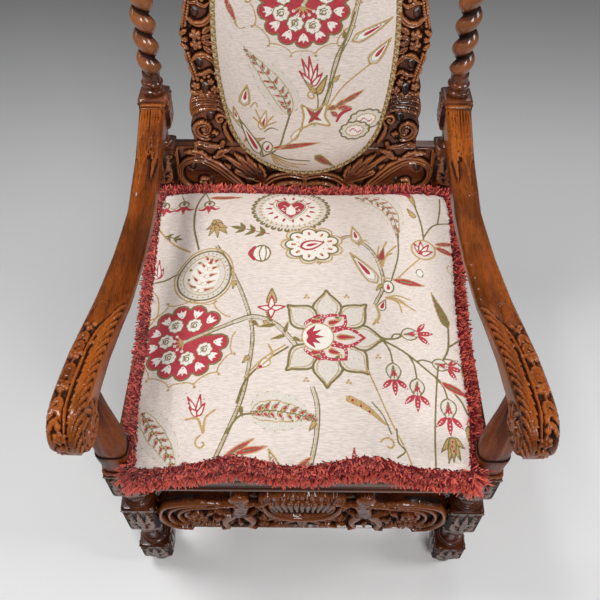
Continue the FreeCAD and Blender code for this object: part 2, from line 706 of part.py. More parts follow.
side_spindle = spindle("side_spindle", sized((spindle_back - spindle_front).Length), s.spigot_radius, s.spigot_long)
drum_x, drum_y = (front_x + back_x) / 2, (spindle_front_y + spindle_back_y) / 2
cross_end = drum_x - s.spindle_drum_radius + s.cross_spigot_long
keep_pair("side_stretcher", cut("side_stretcher", laid(side_spindle, spindle_front, spindle_back), [
    hole("drum_hole", s.cross_spigot_radius, (cross_end - s.spindle_drum_radius, drum_y, low_spindle_z),
         (cross_end + s.end_gap, drum_y, low_spindle_z))]))
cross = spindle("cross_spindle", 2 * cross_end, s.cross_spigot_radius, s.cross_spigot_long)
keep("cross_stretcher", laid(
    cross, vector(-cross_end, drum_y, low_spindle_z), vector(cross_end, drum_y, low_spindle_z)))
rear_end = back_inner_x + s.spigot_long
rear = spindle("rear_spindle", 2 * rear_end, s.spigot_radius, s.spigot_long)
keep("rear_stretcher", laid(
    rear, vector(-rear_end, rear_spindle_y, s.rear_stretcher_rise),
    vector(rear_end, rear_spindle_y, s.rear_stretcher_rise)))

# Arms, sawn to a side outline and a plan outline. The back end is cut to the leaning post, the
# underside has a flat seat for the support, and the front rolls over into a scroll.
support_top_y = support_y + s.support_lean
seat_front_y = support_top_y - s.support_top_deep / 2
seat_back_y = support_top_y + s.support_top_deep / 2
under_y, under_z = leaned(-post_half, arm_block_bottom + s.arm_top_drop)
ledge_y, ledge_z = leaned(-post_half, arm_block_top - s.arm_top_drop)
scroll_low = s.scroll_radius * CORNER_SHARE
arm_side = slab("arm_side", "YZ_Plane", [
    (-s.scroll_reach - s.scroll_radius, s.scroll_rise, s.scroll_radius * QUARTER_BOW_SHARE),
    (-s.scroll_reach, s.scroll_rise - s.scroll_radius, s.scroll_radius * EIGHTH_BOW_SHARE),
    (scroll_low - s.scroll_reach, s.scroll_rise - scroll_low), (seat_front_y, s.support_rise),
    (seat_back_y, s.support_rise, -s.arm_bow), (s.arm_waist_back, s.arm_waist_rise - s.arm_thick, -s.arm_bow / 2),
    (under_y, under_z - seat_top), (under_y + s.post_side, under_z - seat_top),
    (under_y + s.post_side, ledge_z - seat_top), (ledge_y, ledge_z - seat_top, -s.arm_bow),
    (s.arm_waist_back, s.arm_waist_rise, -s.arm_bow), (s.arm_swell_back, s.arm_swell_rise, s.arm_bow / 4),
    (-s.scroll_reach, s.scroll_rise + s.scroll_radius, s.scroll_radius * QUARTER_BOW_SHARE)], s.front_leg_spread)
put(arm_side, front_x, 0, seat_top)
arm_tip_y = -s.scroll_reach - s.scroll_radius - s.overrun
arm_tail_y = under_y + 2 * s.post_side
arm_stations = (
    (front_x + s.arm_front_out, s.arm_front_wide / 2, arm_tip_y),
    (front_x - s.arm_middle_in, s.arm_front_wide / 2, s.arm_middle_back),
    (back_x - s.arm_waist_in, s.arm_waist_wide / 2, s.arm_waist_back),
    (back_x + s.arm_back_out, s.arm_back_wide / 2, arm_tail_y))
arm_bows = ((s.arm_bow,), (-s.arm_bow / 3,), (-s.arm_bow / 4,))
arm_outline = [(x + half, y) + bow for (x, half, y), bow in zip(arm_stations, arm_bows + ((),))]
arm_outline += [(x - half, y) + tuple(-bow for bow in bows)
                for (x, half, y), bows in zip(arm_stations[::-1], arm_bows[::-1] + ((),))]
arm_plan = put(slab("arm_plan", "XY_Plane", arm_outline, 4 * s.scroll_rise), 0, 0, seat_top)
arm_cutters = lean(fuse("arm_cutters", [
    block("arm_post_cutter", 2 * s.post_side, 4 * s.post_side, 4 * s.arm_block_tall,
          0, 2 * s.post_side - post_half, arm_block_bottom - s.arm_block_tall),
    hole("arm_screw_cutter", s.arm_screw_radius, (0, -post_half - s.arm_screw_bite - s.end_gap, arm_screw_rise),
         (0, s.overrun - post_half, arm_screw_rise))]), back_x)
support_top_z = seat_top + s.support_rise
keep_pair("arm", cut("arm", common("arm_blank", [arm_side, arm_plan]), [arm_cutters, hole(
    "arm_dowel_hole", s.dowel_radius, (support_x, support_top_y, support_top_z - s.overrun),
    (support_x, support_top_y, support_top_z + s.dowel_half + s.end_gap))]))

# Arm supports, sawn to a side outline and a front outline, on one dowel at each end.
support_half = s.support_foot_deep / 2
top_half = s.support_top_deep / 2
waist_rise = s.support_rise / 2
support_side = slab("support_side", "YZ_Plane", [
    (support_half, 0, -s.support_bow), (top_half + s.support_lean / 4, waist_rise, -s.support_bow / 2),
    (s.support_lean + top_half, s.support_rise), (s.support_lean - top_half, s.support_rise, s.support_bow / 2),
    (s.support_bow - support_half, waist_rise, s.support_bow), (-support_half, 0)], 2 * s.support_foot_wide)
support_front = slab("support_front", "XZ_Plane", both_halves([
    (0, 0), (s.support_foot_wide / 2, 0, -s.support_bow / 2), (s.support_top_wide / 2, waist_rise),
    (s.support_top_wide / 2, s.support_rise), (0, s.support_rise)]), 4 * s.support_foot_wide)
support_blank = common("support_blank", [
    put(support_side, support_x, support_y, seat_top), put(support_front, support_x, support_y, seat_top)])
keep_pair("arm_support", cut("arm_support", support_blank, [
    hole("support_low_hole", s.dowel_radius, (support_x, support_y, seat_top - s.overrun),
         (support_x, support_y, seat_top + s.dowel_half + s.end_gap)),
    hole("support_high_hole", s.dowel_radius, (support_x, support_top_y, support_top_z - s.dowel_half - s.end_gap),
         (support_x, support_top_y, support_top_z + s.overrun))]))
keep("arm_support_dowels", with_mirror("support_dowels", [
    rod("low_dowel", s.dowel_radius, (support_x, support_y, seat_top - s.dowel_half),
        (support_x, support_y, seat_top + s.dowel_half)),
    rod("high_dowel", s.dowel_radius, (support_x, support_top_y, support_top_z - s.dowel_half),
        (support_x, support_top_y, support_top_z + s.dowel_half))]))
screw_head_y = post_half - s.arm_screw_sink
arm_screw = lean(fuse("arm_screw", [
    rod("arm_screw_shank", s.arm_screw_radius, (0, -post_half - s.arm_screw_bite, arm_screw_rise),
        (0, screw_head_y, arm_screw_rise)),
    rod("arm_screw_head", s.screw_head_radius, (0, screw_head_y, arm_screw_rise),
        (0, screw_head_y + s.screw_head_tall, arm_screw_rise))]), back_x)
keep("arm_screws", with_mirror("arm_screw_pair", [arm_screw]))


# Back frame: a pierced lower rail, two carved sides and a crest rail around an oval opening
# with a rebate behind for the upholstery. Everything here is drawn upright and then leaned.
def oval(offset, y):
    """A four-arc oval, larger all round by the offset, in the plane of the given y."""
    offset, y, middle = sized(offset).value, sized(y).value, s.oval_rise.value
    half_wide, end = s.oval_half_wide.value, (s.oval_half_wide - s.oval_end_narrower).value
    centre_rise = s.oval_half_tall.value - end
    side = (half_wide ** 2 + centre_rise ** 2 - end ** 2) / (2 * (half_wide - end))
    join = math.atan2(centre_rise, side - half_wide)
    arcs = []
    for way in (1, -1):
        turn = 0 if way > 0 else math.pi
        for x, rise, radius, angles in (
                (-way * (side - half_wide), 0, side + offset, (-join, 0, join)),
                (0, way * centre_rise, end + offset, (join, math.pi / 2, math.pi - join))):
            points = [FreeCAD.Vector(x + radius * math.cos(turn + angle), y,
                                     middle + rise + radius * math.sin(turn + angle)) for angle in angles]
            arcs.append(Part.Arc(*points).toShape())
    return Part.Wire(arcs)


def oval_plate(name, offset, front, back, inner=None):
    """A plate or ring with the oval's outline, between two depths."""
    rims = [oval(offset, front)] + ([] if inner is None else [oval(inner, front)])
    face = Part.makeFace(rims, "Part::FaceMakerBullseye")
    return solid_of(name, face.extrude(vector(0, back - front, 0)))


frame_front = -s.frame_thick / 2
frame_back = s.frame_thick / 2
rebate_front = frame_back - s.rebate_deep
frame_joint = top_block_bottom
frame_run = frame_joint - low_rail_top
frame_half_wide = s.oval_half_wide + s.frame_side_wide
frame_dowel_out = s.oval_half_wide - s.frame_dowel_inside


def piercing(name, x, rise, wide, tall):
    """A pierced hole: an oval bar through the board."""
    rim = doc.addObject("Part::Ellipse", name + "_rim")
    drive(rim, MajorRadius=s.pierce_radius * max(wide, tall), MinorRadius=s.pierce_radius * min(wide, tall))
    turn = FreeCAD.Rotation(FreeCAD.Vector(1, 0, 0), 90)
    if tall > wide:
        turn = turn * FreeCAD.Rotation(FreeCAD.Vector(0, 0, 1), 90)
    rim.Placement = FreeCAD.Placement(vector(x, frame_back + s.overrun, rise), turn)
    bar = doc.addObject("Part::Extrusion", name)
    bar.Base = rim
    bar.DirMode = "Custom"
    bar.Dir = FreeCAD.Vector(0, -1, 0)
    bar.Solid = True
    drive(bar, LengthFwd=s.frame_thick + 2 * s.overrun)
    return bar


def rail_holes(name, shares, bottom, tall):
    bars = []
    for out_share, up_share, wide, high in shares:
        for side in (-1, 1):
            bars.append(piercing(name, side * back_inner_x * out_share, bottom + tall * up_share, wide, high))
    return bars


def dowel_hole(name, x, joint, way):
    return hole(name, s.dowel_radius, (x, 0, joint - way * s.overrun),
                (x, 0, joint + way * (s.dowel_half + s.end_gap)))


def opening_tools(name):
    """The oval opening and its rebate, as cutters."""
    return [oval_plate(name + "_opening", 0, frame_front - s.overrun, frame_back + s.overrun),
            oval_plate(name + "_rebate", s.rebate_wide, rebate_front, frame_back + s.overrun)]


def frame_rail(name, board, tenon_low, tenon_rise, joint, way, holes):
    """A rail of the back frame with its tenons, opening, dowel holes and piercings."""
    wood = [board] + [tenon(name + "_tenon", back_inner_x, 0, tenon_low, tenon_rise, side) for side in (-1, 1)]
    dowels = [dowel_hole(name + "_dowel_hole", side * frame_dowel_out, joint, way) for side in (-1, 1)]
    return lean(cut(name, fuse(name + "_wood", wood), opening_tools(name) + dowels + holes))


low_edge = shaped(back_inner_x, s.low_rail_tall, LOW_RAIL_EDGE_SHARES, s.low_rail_rise)
low_board = slab("low_rail_board", "XZ_Plane", both_halves(low_edge + [
    (back_inner_x, s.low_rail_rise), (back_inner_x, low_rail_top), (0, low_rail_top)]), s.frame_thick)
keep("back_lower_rail", frame_rail(
    "low_back_rail", low_board, low_rail_tenon_bottom, low_rail_tenon_tall, low_rail_top, -1,
    rail_holes("low_rail_pierce", LOW_RAIL_HOLE_SHARES, s.low_rail_rise, s.low_rail_tall)))

crest_board = slab("crest_board", "XZ_Plane", both_halves(
    [(0, frame_joint), (back_inner_x, frame_joint), (back_inner_x, top_block_top, s.frame_leaf)]
    + shaped(back_inner_x, s.crest_tall, CREST_EDGE_SHARES, top_block_top)), s.frame_thick)
keep("crest_rail", frame_rail(
    "crest", crest_board, crest_tenon_bottom, crest_tenon_tall, frame_joint, 1,
    rail_holes("crest_pierce", CREST_HOLE_SHARES, frame_joint, s.top_block_tall + s.crest_tall)))

side_outline = [(s.oval_half_wide / 2, low_rail_top)]
for share in SIDE_LEAF_SHARES[:-1]:
    out = frame_half_wide - (s.frame_notch if share else 0)
    side_outline.append((out, low_rail_top + frame_run * share, s.frame_leaf))
side_outline += [(frame_half_wide, frame_joint), (s.oval_half_wide / 2, frame_joint)]
side_tools = opening_tools("side") + [
    dowel_hole("side_low_dowel_hole", frame_dowel_out, low_rail_top, 1),
    dowel_hole("side_high_dowel_hole", frame_dowel_out, frame_joint, -1)]
for out_share, up_share, wide, tall in SIDE_HOLE_SHARES:
    for way in (-1, 1):
        side_tools.append(piercing("side_pierce", s.oval_half_wide + s.frame_side_wide * out_share,
                                   s.oval_rise + way * up_share * frame_run / 2, wide, tall))
side_frame_board = slab("frame_side_board", "XZ_Plane", side_outline, s.frame_thick)
keep_pair("back_frame", lean(cut("frame_side", side_frame_board, side_tools)))
keep("back_frame_dowels", lean(with_mirror("frame_dowels", [
    rod("frame_dowel", s.dowel_radius, (frame_dowel_out, 0, joint - s.dowel_half),
        (frame_dowel_out, 0, joint + s.dowel_half)) for joint in (low_rail_top, frame_joint)])))

# Finials, turned, each with a spigot in the top of its post.
finial = turned("finial_turning", [
    (0, -s.spigot_long), (s.finial_spigot_radius, -s.spigot_long), (s.finial_spigot_radius, 0)]
    + shaped(s.finial_radius, s.finial_tall, FINIAL_SHARES))
put(finial, back_x, 0, top_block_top)
keep_pair("finial", lean(group("finial_stood", [finial])))

# Back upholstery in the oval: a crowned pad in front, backing board and outside cover behind,
# and braid over both edges.
pad_clear = -s.soft_gap * 1.5
pad_face = frame_front - s.pad_edge / 5
pad_steps = [(pad_clear, rebate_front - s.soft_gap), (pad_clear, frame_front + s.pad_edge)]
for inset_share, rise_share in PAD_CROWN_SHARES:
    pad_steps.append((pad_clear - s.pad_edge * inset_share, pad_face - s.pad_crown * rise_share))
pad = solid_of("back_pad", Part.makeLoft([oval(*step) for step in pad_steps], True, True))
keep("back_panel_pad", lean(pad))
backing_offset = s.rebate_wide - s.soft_gap * 1.5
backing_back = rebate_front + s.backing_thick
keep("back_panel_board", lean(oval_plate("backing", backing_offset, rebate_front, backing_back)))
cover_front = backing_back + s.soft_gap
keep("outside_back_cover", lean(oval_plate("outside_cover", backing_offset, cover_front, cover_front + s.cover_thick)))
keep("back_gimp", lean(oval_plate(
    "front_braid", s.gimp_wide - s.gimp_lap, frame_front - s.gimp_thick, frame_front, -s.gimp_lap)))
rear_gimp_inner = s.rebate_wide - s.gimp_lap
keep("rear_gimp", lean(oval_plate(
    "rear_braid", rear_gimp_inner + s.gimp_wide, frame_back, frame_back + s.gimp_thick, rear_gimp_inner)))

# Seat upholstery: jute straps tacked over the rails, and a canvas and felt deck on them.
straps, tack_places = [], []
strap_front = front_rail_y - rail_half + s.strap_inset
strap_back = s.leg_depth + rail_half - s.strap_inset
middle_y = (leg_half + post_front_y) / 2
cross_pitch = (middle_y - leg_half - s.strap_end_room) / 2
for place in (-2, -1, 0, 1, 2):
    x, y = place * s.strap_pitch, middle_y + place * cross_pitch
    half = side_x(y) + rail_half - s.strap_inset
    straps.append(block("strap_long", s.strap_wide, strap_back - strap_front, s.strap_thick,
                        x, (strap_front + strap_back) / 2, seat_top))
    straps.append(block("strap_cross", 2 * half, s.strap_wide, s.strap_thick, 0, y, seat_top + s.strap_thick))
    for side in (-1, 1):
        aside = side * s.strap_wide / 4
        tack_places.append((x + aside, strap_front + s.tack_edge, seat_top + s.strap_thick))
        tack_places.append((x + aside, strap_back - s.tack_edge, seat_top + s.strap_thick))
        tack_places.append((half - s.tack_edge, y + aside, seat_top + 2 * s.strap_thick))
        tack_places.append((s.tack_edge - half, y + aside, seat_top + 2 * s.strap_thick))
keep("seat_webbing", fuse("webbing", straps))
keep("webbing_tacks", group("tacks", [
    fuse("tack", [rod("tack_shank", s.tack_radius, (x, y, z - s.tack_long), (x, y, z)),
                  rod("tack_head", s.tack_head_radius, (x, y, z), (x, y, z + s.tack_head_tall))])
    for x, y, z in tack_places]))
deck_bottom = seat_top + 2 * s.strap_thick + s.tack_head_tall + s.soft_gap
deck_front = front_rail_y - rail_half + s.deck_inset
deck_back = s.leg_depth + rail_half - s.deck_inset
deck_side = rail_half - s.deck_inset
front_notch_x, front_notch_y = front_inner_x - s.deck_inset, leg_half + s.deck_inset
back_notch_x, back_notch_y = back_inner_x - s.deck_inset, post_front_y - s.deck_inset
deck = slab("deck", "XY_Plane", both_halves([
    (0, deck_front), (front_notch_x, deck_front), (front_notch_x, front_notch_y),
    (side_x(front_notch_y) + deck_side, front_notch_y), (side_x(back_notch_y) + deck_side, back_notch_y),
    (back_notch_x, back_notch_y), (back_notch_x, deck_back), (0, deck_back)]), s.deck_thick)
keep("seat_deck", put(deck, 0, 0, deck_bottom + s.deck_thick / 2))

# Loose cushion: crowned above, its sides drawn in between rounded corners, with a fringe
# hanging from each of its two seams.
cushion_front_y = front_rail_y - rail_half - s.cushion_overhang
cushion_back_y = post_front_y - s.fringe_thick - s.soft_gap - s.cushion_back_room
cushion_front_half = support_x - s.support_foot_wide / 2 - s.cushion_side_room
cushion_back_half = cushion_front_half + s.cushion_spread


def cushion_wire(inset, z):
    """Plan outline of the cushion, smaller all round by the inset."""
    inset, z = sized(inset).value, sized(z).value
    corner, draw_in = s.cushion_corner.value, s.cushion_draw.value
    bow = corner * QUARTER_BOW_SHARE
    front = (cushion_front_half.value - inset, cushion_front_y.value + inset)
    back = (cushion_back_half.value - inset, cushion_back_y.value - inset)
    arcs = []
    for way, (near_half, near), (far_half, far) in ((1, front, back), (-1, back, front)):
        side_middle = ((near_half + far_half) / 2 - draw_in, (near + far) / 2)
        for points in (
                ((near_half, near + way * corner), side_middle, (far_half, far - way * corner)),
                ((far_half, far - way * corner), (far_half - bow, far - way * bow), (far_half - corner, far)),
                ((far_half - corner, far), (0, far - way * draw_in), (corner - far_half, far)),
                ((corner - far_half, far), (bow - far_half, far - way * bow), (-far_half, far - way * corner))):
            arcs.append(Part.Arc(*[FreeCAD.Vector(way * x, y, z) for x, y in points]).toShape())
    return Part.Wire(arcs)


def fringe(name, top, drop):
    rims = [cushion_wire(-s.soft_gap - s.fringe_thick, top), cushion_wire(-s.soft_gap, top)]
    face = Part.makeFace(rims, "Part::FaceMakerBullseye")
    return solid_of(name, face.extrude(vector(0, 0, -drop)))


cushion_bottom = deck_bottom + s.deck_thick + s.soft_gap
low_seam = cushion_bottom + s.cushion_low_seam
high_seam = cushion_bottom + s.cushion_high_seam
crown = s.cushion_tall - s.cushion_high_seam
cushion_steps = [
    (s.cushion_corner / 2, cushion_bottom), (0, low_seam), (s.cushion_draw / 2, (low_seam + high_seam) / 2)]
for inset_share, rise_share in CUSHION_CROWN_SHARES:
    cushion_steps.append((s.cushion_corner * inset_share, high_seam + crown * rise_share))
keep("seat_cushion", solid_of("cushion", Part.makeLoft(
    [cushion_wire(*step) for step in cushion_steps], True, True)))
keep("cushion_fringe_top", fringe("fringe_top", high_seam, s.fringe_high_drop))
keep("cushion_fringe_bottom", fringe("fringe_bottom", low_seam, s.fringe_low_drop))

doc.recompute()

# The origin goes under the middle of the whole chair, so every piece moves by the same depth.
whole = FreeCAD.BoundBox()
for item in nodes.values():
    whole.add(item.Shape.optimalBoundingBox(False, False))
shift = FreeCAD.Placement(FreeCAD.Vector(0, -(whole.YMin + whole.YMax) / 2, 0), FreeCAD.Rotation())
for item in nodes.values():
    if item.TypeId != "Part::Mirroring":
        item.setExpression("Placement.Base.y", None)
        item.Placement = shift.multiply(item.Placement)
doc.recompute()

faulty = [item.Name for item in doc.Objects if "Invalid" in item.State or "Error" in item.State]
for label, item in nodes.items():
    if item.Shape.isNull() or not item.Shape.isValid():
        faulty.append(label)
if faulty:
    raise RuntimeError("not built: " + ", ".join(faulty))
os.makedirs("parts", exist_ok=True)
for label, item in nodes.items():
    item.Shape.exportStep("parts/%s.step" % label)
print("%d pieces, %.1f x %.1f x %.1f, depth shift %.3f" % (
    len(nodes), whole.XLength, whole.YLength, whole.ZLength, shift.Base.y))
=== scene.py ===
import math

import bpy
import numpy as np
from mathutils import Matrix, Vector


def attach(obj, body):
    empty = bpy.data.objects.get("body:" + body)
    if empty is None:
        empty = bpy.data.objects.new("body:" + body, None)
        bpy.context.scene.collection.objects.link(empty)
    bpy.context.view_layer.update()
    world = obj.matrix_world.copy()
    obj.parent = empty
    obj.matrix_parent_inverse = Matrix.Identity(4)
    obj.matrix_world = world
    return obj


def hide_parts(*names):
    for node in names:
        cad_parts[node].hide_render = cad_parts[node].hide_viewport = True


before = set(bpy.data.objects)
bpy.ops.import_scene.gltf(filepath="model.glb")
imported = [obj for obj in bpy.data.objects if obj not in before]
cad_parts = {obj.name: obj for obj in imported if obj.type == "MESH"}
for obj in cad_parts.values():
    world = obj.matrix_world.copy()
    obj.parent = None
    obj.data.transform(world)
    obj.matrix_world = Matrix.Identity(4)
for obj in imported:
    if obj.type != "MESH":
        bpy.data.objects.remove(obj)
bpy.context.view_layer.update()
scene = bpy.context.scene


# Floor, light and camera. The floor is pale studio paper, lit by a soft box from above, four fills and an
# even sky; painted shade greys its colour away behind the chair, where the light falls off. The camera
# looks steeply down from over the front.
class Value:
    """A shader socket that Python sums work on."""

    def __init__(self, finish, socket):
        self.finish, self.socket = finish, socket

    def maths(self, operation, *others):
        return self.finish.node("Math", {"operation": operation}, (self,) + others)

    def __add__(self, other):
        return self.maths("ADD", other)

    def __sub__(self, other):
        return self.maths("SUBTRACT", other)

    def __rsub__(self, other):
        return self.finish.node("Math", {"operation": "SUBTRACT"}, (other, self))

    def __mul__(self, other):
        return self.maths("MULTIPLY", other)

    __radd__, __rmul__ = __add__, __mul__

    def between(self, low, high):
        """Nought below low, one above high, and a soft step from one to the other."""
        return self.finish.node("MapRange", {"interpolation_type": "SMOOTHSTEP"},
            (self, low, high, 0.0, 1.0))


class Finish:
    """A node material, built one node at a time."""

    def __init__(self, name):
        self.material = bpy.data.materials.new(name)
        self.material.use_nodes = True
        self.tree = self.material.node_tree
        self.tree.nodes.clear()

    def node(self, kind, settings=None, inputs=(), out=0):
        node = self.tree.nodes.new("ShaderNode" + kind)
        for key, setting in (settings or {}).items():
            if key == "stops":
                ramp = node.color_ramp.elements
                for stop, (place, colour) in enumerate(setting):
                    element = ramp[stop] if stop < 2 else ramp.new(place)
                    element.position = place
                    element.color = colour
            else:
                setattr(node, key, setting)
        for key, value in inputs.items() if isinstance(inputs, dict) else enumerate(inputs):
            if isinstance(value, Value):
                self.tree.links.new(value.socket, node.inputs[key])
            else:
                node.inputs[key].default_value = value
        return Value(self, node.outputs[out]) if node.outputs else None

    def noise(self, scale, stretch=(1, 1, 1), detail=3.0, roughness=0.55, out="Fac"):
        """Noise in the object's own metres, drawn out along an axis by a stretch below one."""
        place = self.node("TexCoord", out="Object")
        place = self.node("VectorMath", {"operation": "MULTIPLY"}, (place, tuple(stretch)))
        return self.node("TexNoise", inputs={"Vector": place, "Scale": scale, "Detail": detail,
            "Roughness": roughness}, out=out)

    def mix(self, share, first, second, way="MIX"):
        return self.node("Mix", {"data_type": "RGBA", "blend_type": way}, {0: share, 6: first, 7: second},
            out=2)

    def layer(self, name):
        """A number painted on the mesh, from the attribute of that name."""
        return self.node("Attribute", {"attribute_name": name}, out="Fac")

    def bump(self, height, depth, below=None):
        inputs = {"Height": height, "Distance": depth}
        if below is not None:
            inputs["Normal"] = below
        return self.node("Bump", inputs=inputs)

    def shade(self, sockets):
        shader = self.node("BsdfPrincipled", inputs=sockets)
        self.node("OutputMaterial", inputs={"Surface": shader})
        return self.material


def paint(code):
    """A colour written as RRGGBB, as the linear numbers that a shader takes."""
    parts = [int(code[place:place + 2], 16) / 255 for place in (0, 2, 4)]
    return tuple(part / 12.92 if part <= 0.04045 else ((part + 0.055) / 1.055) ** 2.4
        for part in parts) + (1.0,)


def studio_paper():
    look = Finish("studio_paper")
    depth = look.node("SeparateXYZ", inputs=(look.node("TexCoord", out="Object"),), out=1)
    # Painted shade: the paper goes from near white in front of the chair to mid grey far behind it.
    colour = look.mix(depth.between(-0.55, 2.1), paint("F6F6F6"), paint("666666"))
    cloud = look.noise(1.5, detail=1.0) * 0.05
    colour = look.mix(cloud, colour, paint("FFFFFF"))
    return look.shade({"Base Color": colour, "Roughness": 0.9, "Specular IOR Level": 0.1})


paper = bpy.data.meshes.new("studio_floor")
paper.from_pydata([(-14, -14, 0), (14, -14, 0), (14, 14, 0), (-14, 14, 0)], [], [(0, 1, 2, 3)])
paper.materials.append(studio_paper())
floor = bpy.data.objects.new("studio_floor", paper)
scene.collection.objects.link(floor)


def soft_box(name, place, aim, side, power):
    lamp = bpy.data.lights.new(name, "AREA")
    lamp.shape, lamp.size, lamp.energy = "SQUARE", side, power
    box = bpy.data.objects.new(name, lamp)
    box.location = place
    box.rotation_euler = (Vector(aim) - Vector(place)).to_track_quat("-Z", "Y").to_euler()
    scene.collection.objects.link(box)


soft_box("key_light", (-1.0, 0.05, 2.75), (0, -0.05, 0.5), 0.6, 28)
soft_box("front_light", (0.5, -1.9, 2.6), (0, 0.2, 0.9), 0.7, 33)
soft_box("left_light", (-2.6, 0.3, 1.9), (0, 0, 0.6), 0.9, 7)
soft_box("right_light", (2.5, -0.4, 2.2), (0, 0, 0.6), 0.9, 32)
soft_box("rear_light", (0.6, 2.4, 2.2), (0, 0.2, 0.8), 1.0, 9)

scene.world = scene.world or bpy.data.worlds.new("studio_sky")
scene.world.use_nodes = True
sky = scene.world.node_tree
sky.nodes.clear()
backdrop = sky.nodes.new("ShaderNodeBackground")
backdrop.inputs["Color"].default_value = (0.62, 0.62, 0.62, 1)
dome = sky.nodes.new("ShaderNodeBackground")
dome.inputs["Color"].default_value = (0.97, 0.98, 1.0, 1)
dome.inputs["Strength"].default_value = 0.15
chosen = sky.nodes.new("ShaderNodeMixShader")
ray = sky.nodes.new("ShaderNodeLightPath")
seen = sky.nodes.new("ShaderNodeOutputWorld")
sky.links.new(ray.outputs["Is Camera Ray"], chosen.inputs[0])
sky.links.new(dome.outputs[0], chosen.inputs[1])
sky.links.new(backdrop.outputs[0], chosen.inputs[2])
sky.links.new(chosen.outputs[0], seen.inputs[0])
scene.view_settings.view_transform = "Standard"

camera = bpy.data.objects.new("camera", bpy.data.cameras.new("camera"))
camera.data.lens = 47.7
camera.data.sensor_width = 36
camera_down, camera_turn, camera_roll = math.radians(55.24), math.radians(-0.67), math.radians(-0.15)
ahead = Vector((math.sin(camera_turn) * math.cos(camera_down),
    math.cos(camera_turn) * math.cos(camera_down), -math.sin(camera_down)))
level = Vector((math.cos(camera_turn), -math.sin(camera_turn), 0))
upward = level.cross(ahead)
across = level * math.cos(camera_roll) + upward * math.sin(camera_roll)
upward = upward * math.cos(camera_roll) - level * math.sin(camera_roll)
camera.matrix_world = (Matrix.Translation((0.00268, -0.79427, 1.58979))
    @ Matrix((across, upward, -ahead)).transposed().to_4x4())
scene.collection.objects.link(camera)
scene.camera = camera


# Front legs of stained and waxed oak. Each is one turned post with square blocks left between the
# turnings, carved with leaves, on a bun foot. Sizes are in millimetres. A profile gives rings of points
# that are stacked along the post, square in the blocks and round in the turnings.
def waxed_oak(name, along, dark="30150A", middle="74361A", light="AC5E26", shine=0.24, worn_highlit_edge="B0602A",
        coat=0.38):
    """Dark stained oak under old wax, its grain along one axis. Deep places go near black, partly old
    polish and partly painted shade; proud edges go lighter, partly from rubbing and partly a painted
    highlight.
    """
    look = Finish(name)
    stretch = [1.0, 1.0, 1.0]
    stretch["xyz".index(along)] = 0.07
    figure = look.noise(26, stretch, 3.0)
    lines = look.noise(420, stretch, 2.0)
    pores = look.noise(1300, stretch, 1.0)
    tone = figure * 0.75 + lines * 0.35 + pores * 0.1 - 0.1
    colour = look.node("ValToRGB", {"stops": ((0.3, paint(dark)), (0.5, paint(middle)),
        (0.72, paint(light)))}, (tone,))
    patches = look.noise(16, (1, 0.5, 1), 4.0)
    colour = look.mix(patches.between(0.42, 0.66) * 0.62, colour, paint("2C1207"))
    colour = look.mix(lines.between(0.52, 0.6) * 0.5, colour, paint("1E0C05"))
    hollow = look.layer("hollow")
    # Proud edges lighter: partly rubbing, partly a painted highlight.
    worn_and_highlit = hollow.between(0.12, 0.85) * (0.35 + figure * 0.5)
    colour = look.mix(worn_and_highlit, colour, paint(worn_highlit_edge))
    # Deep places near black: partly old polish, partly painted shade.
    deep = (0.0 - hollow).between(0.05, 0.7)
    colour = look.mix(deep * 0.9, colour, paint("0D0503"))
    colour = look.mix(pores.between(0.6, 0.75) * 0.35, colour, paint("1C0C05"))
    rough = shine + deep * 0.3 + lines * 0.12
    surface = look.bump(pores, 0.00012, look.bump(lines, 0.00025))
    return look.shade({"Base Color": colour, "Roughness": rough, "Normal": surface,
        "Coat Weight": (1 - deep) * coat, "Coat Roughness": 0.12, "Specular IOR Level": 0.12})


# The legs' oak is painted darker than the oak above it: painted shade, for legs that stand low, out of the
# light.
oak_leg_shaded = waxed_oak("waxed_oak_leg_shaded", "z", "1E0D06", "4C210D", "783916", 0.2, "7E421C", 0.5)


def flowing(points, steps=8):
    """A smooth line through a few points."""
    knots = np.array(points, float)
    knots = np.vstack([2 * knots[0] - knots[1], knots, 2 * knots[-1] - knots[-2]])
    share = np.linspace(0, 1, steps, endpoint=False)[:, None]
    runs = [0.5 * (2 * here + (after - before) * share
        + (2 * before - 5 * here + 4 * after - beyond) * share ** 2
        + (3 * here - 3 * after + beyond - before) * share ** 3)
        for before, here, after, beyond in zip(knots, knots[1:], knots[2:], knots[3:])]
    return np.vstack(runs + [knots[-2:-1]])


def spiral(centre, outer, inner, start, turns, steps=40):
    """A volute's line, from its outer end inwards; turns below nought wind the other way."""
    share = np.linspace(0, 1, steps)
    angle = math.radians(start) + 2 * math.pi * turns * share
    reach = outer + (inner - outer) * share ** 0.8
    return np.stack([centre[0] + reach * np.cos(angle), centre[1] + reach * np.sin(angle)], 1)


def nearest(x, u, line):
    """How far each place is from a line, how far along it, and on which side of it."""
    begin, run = line[:-1], np.diff(line, axis=0)
    long = np.maximum(np.hypot(run[:, 0], run[:, 1]), 1e-6)
    from_x, from_u = x[:, None] - begin[:, 0], u[:, None] - begin[:, 1]
    share = np.clip((from_x * run[:, 0] + from_u * run[:, 1]) / long ** 2, 0, 1)
    away = np.hypot(from_x - share * run[:, 0], from_u - share * run[:, 1])
    closest = away.argmin(1)
    rows = np.arange(len(x))
    start = np.concatenate([[0], np.cumsum(long)])
    along = (start[closest] + share[rows, closest] * long[closest]) / start[-1]
    side = np.sign(from_x[rows, closest] * run[closest, 1] - from_u[rows, closest] * run[closest, 0])
    return away[rows, closest], along, side


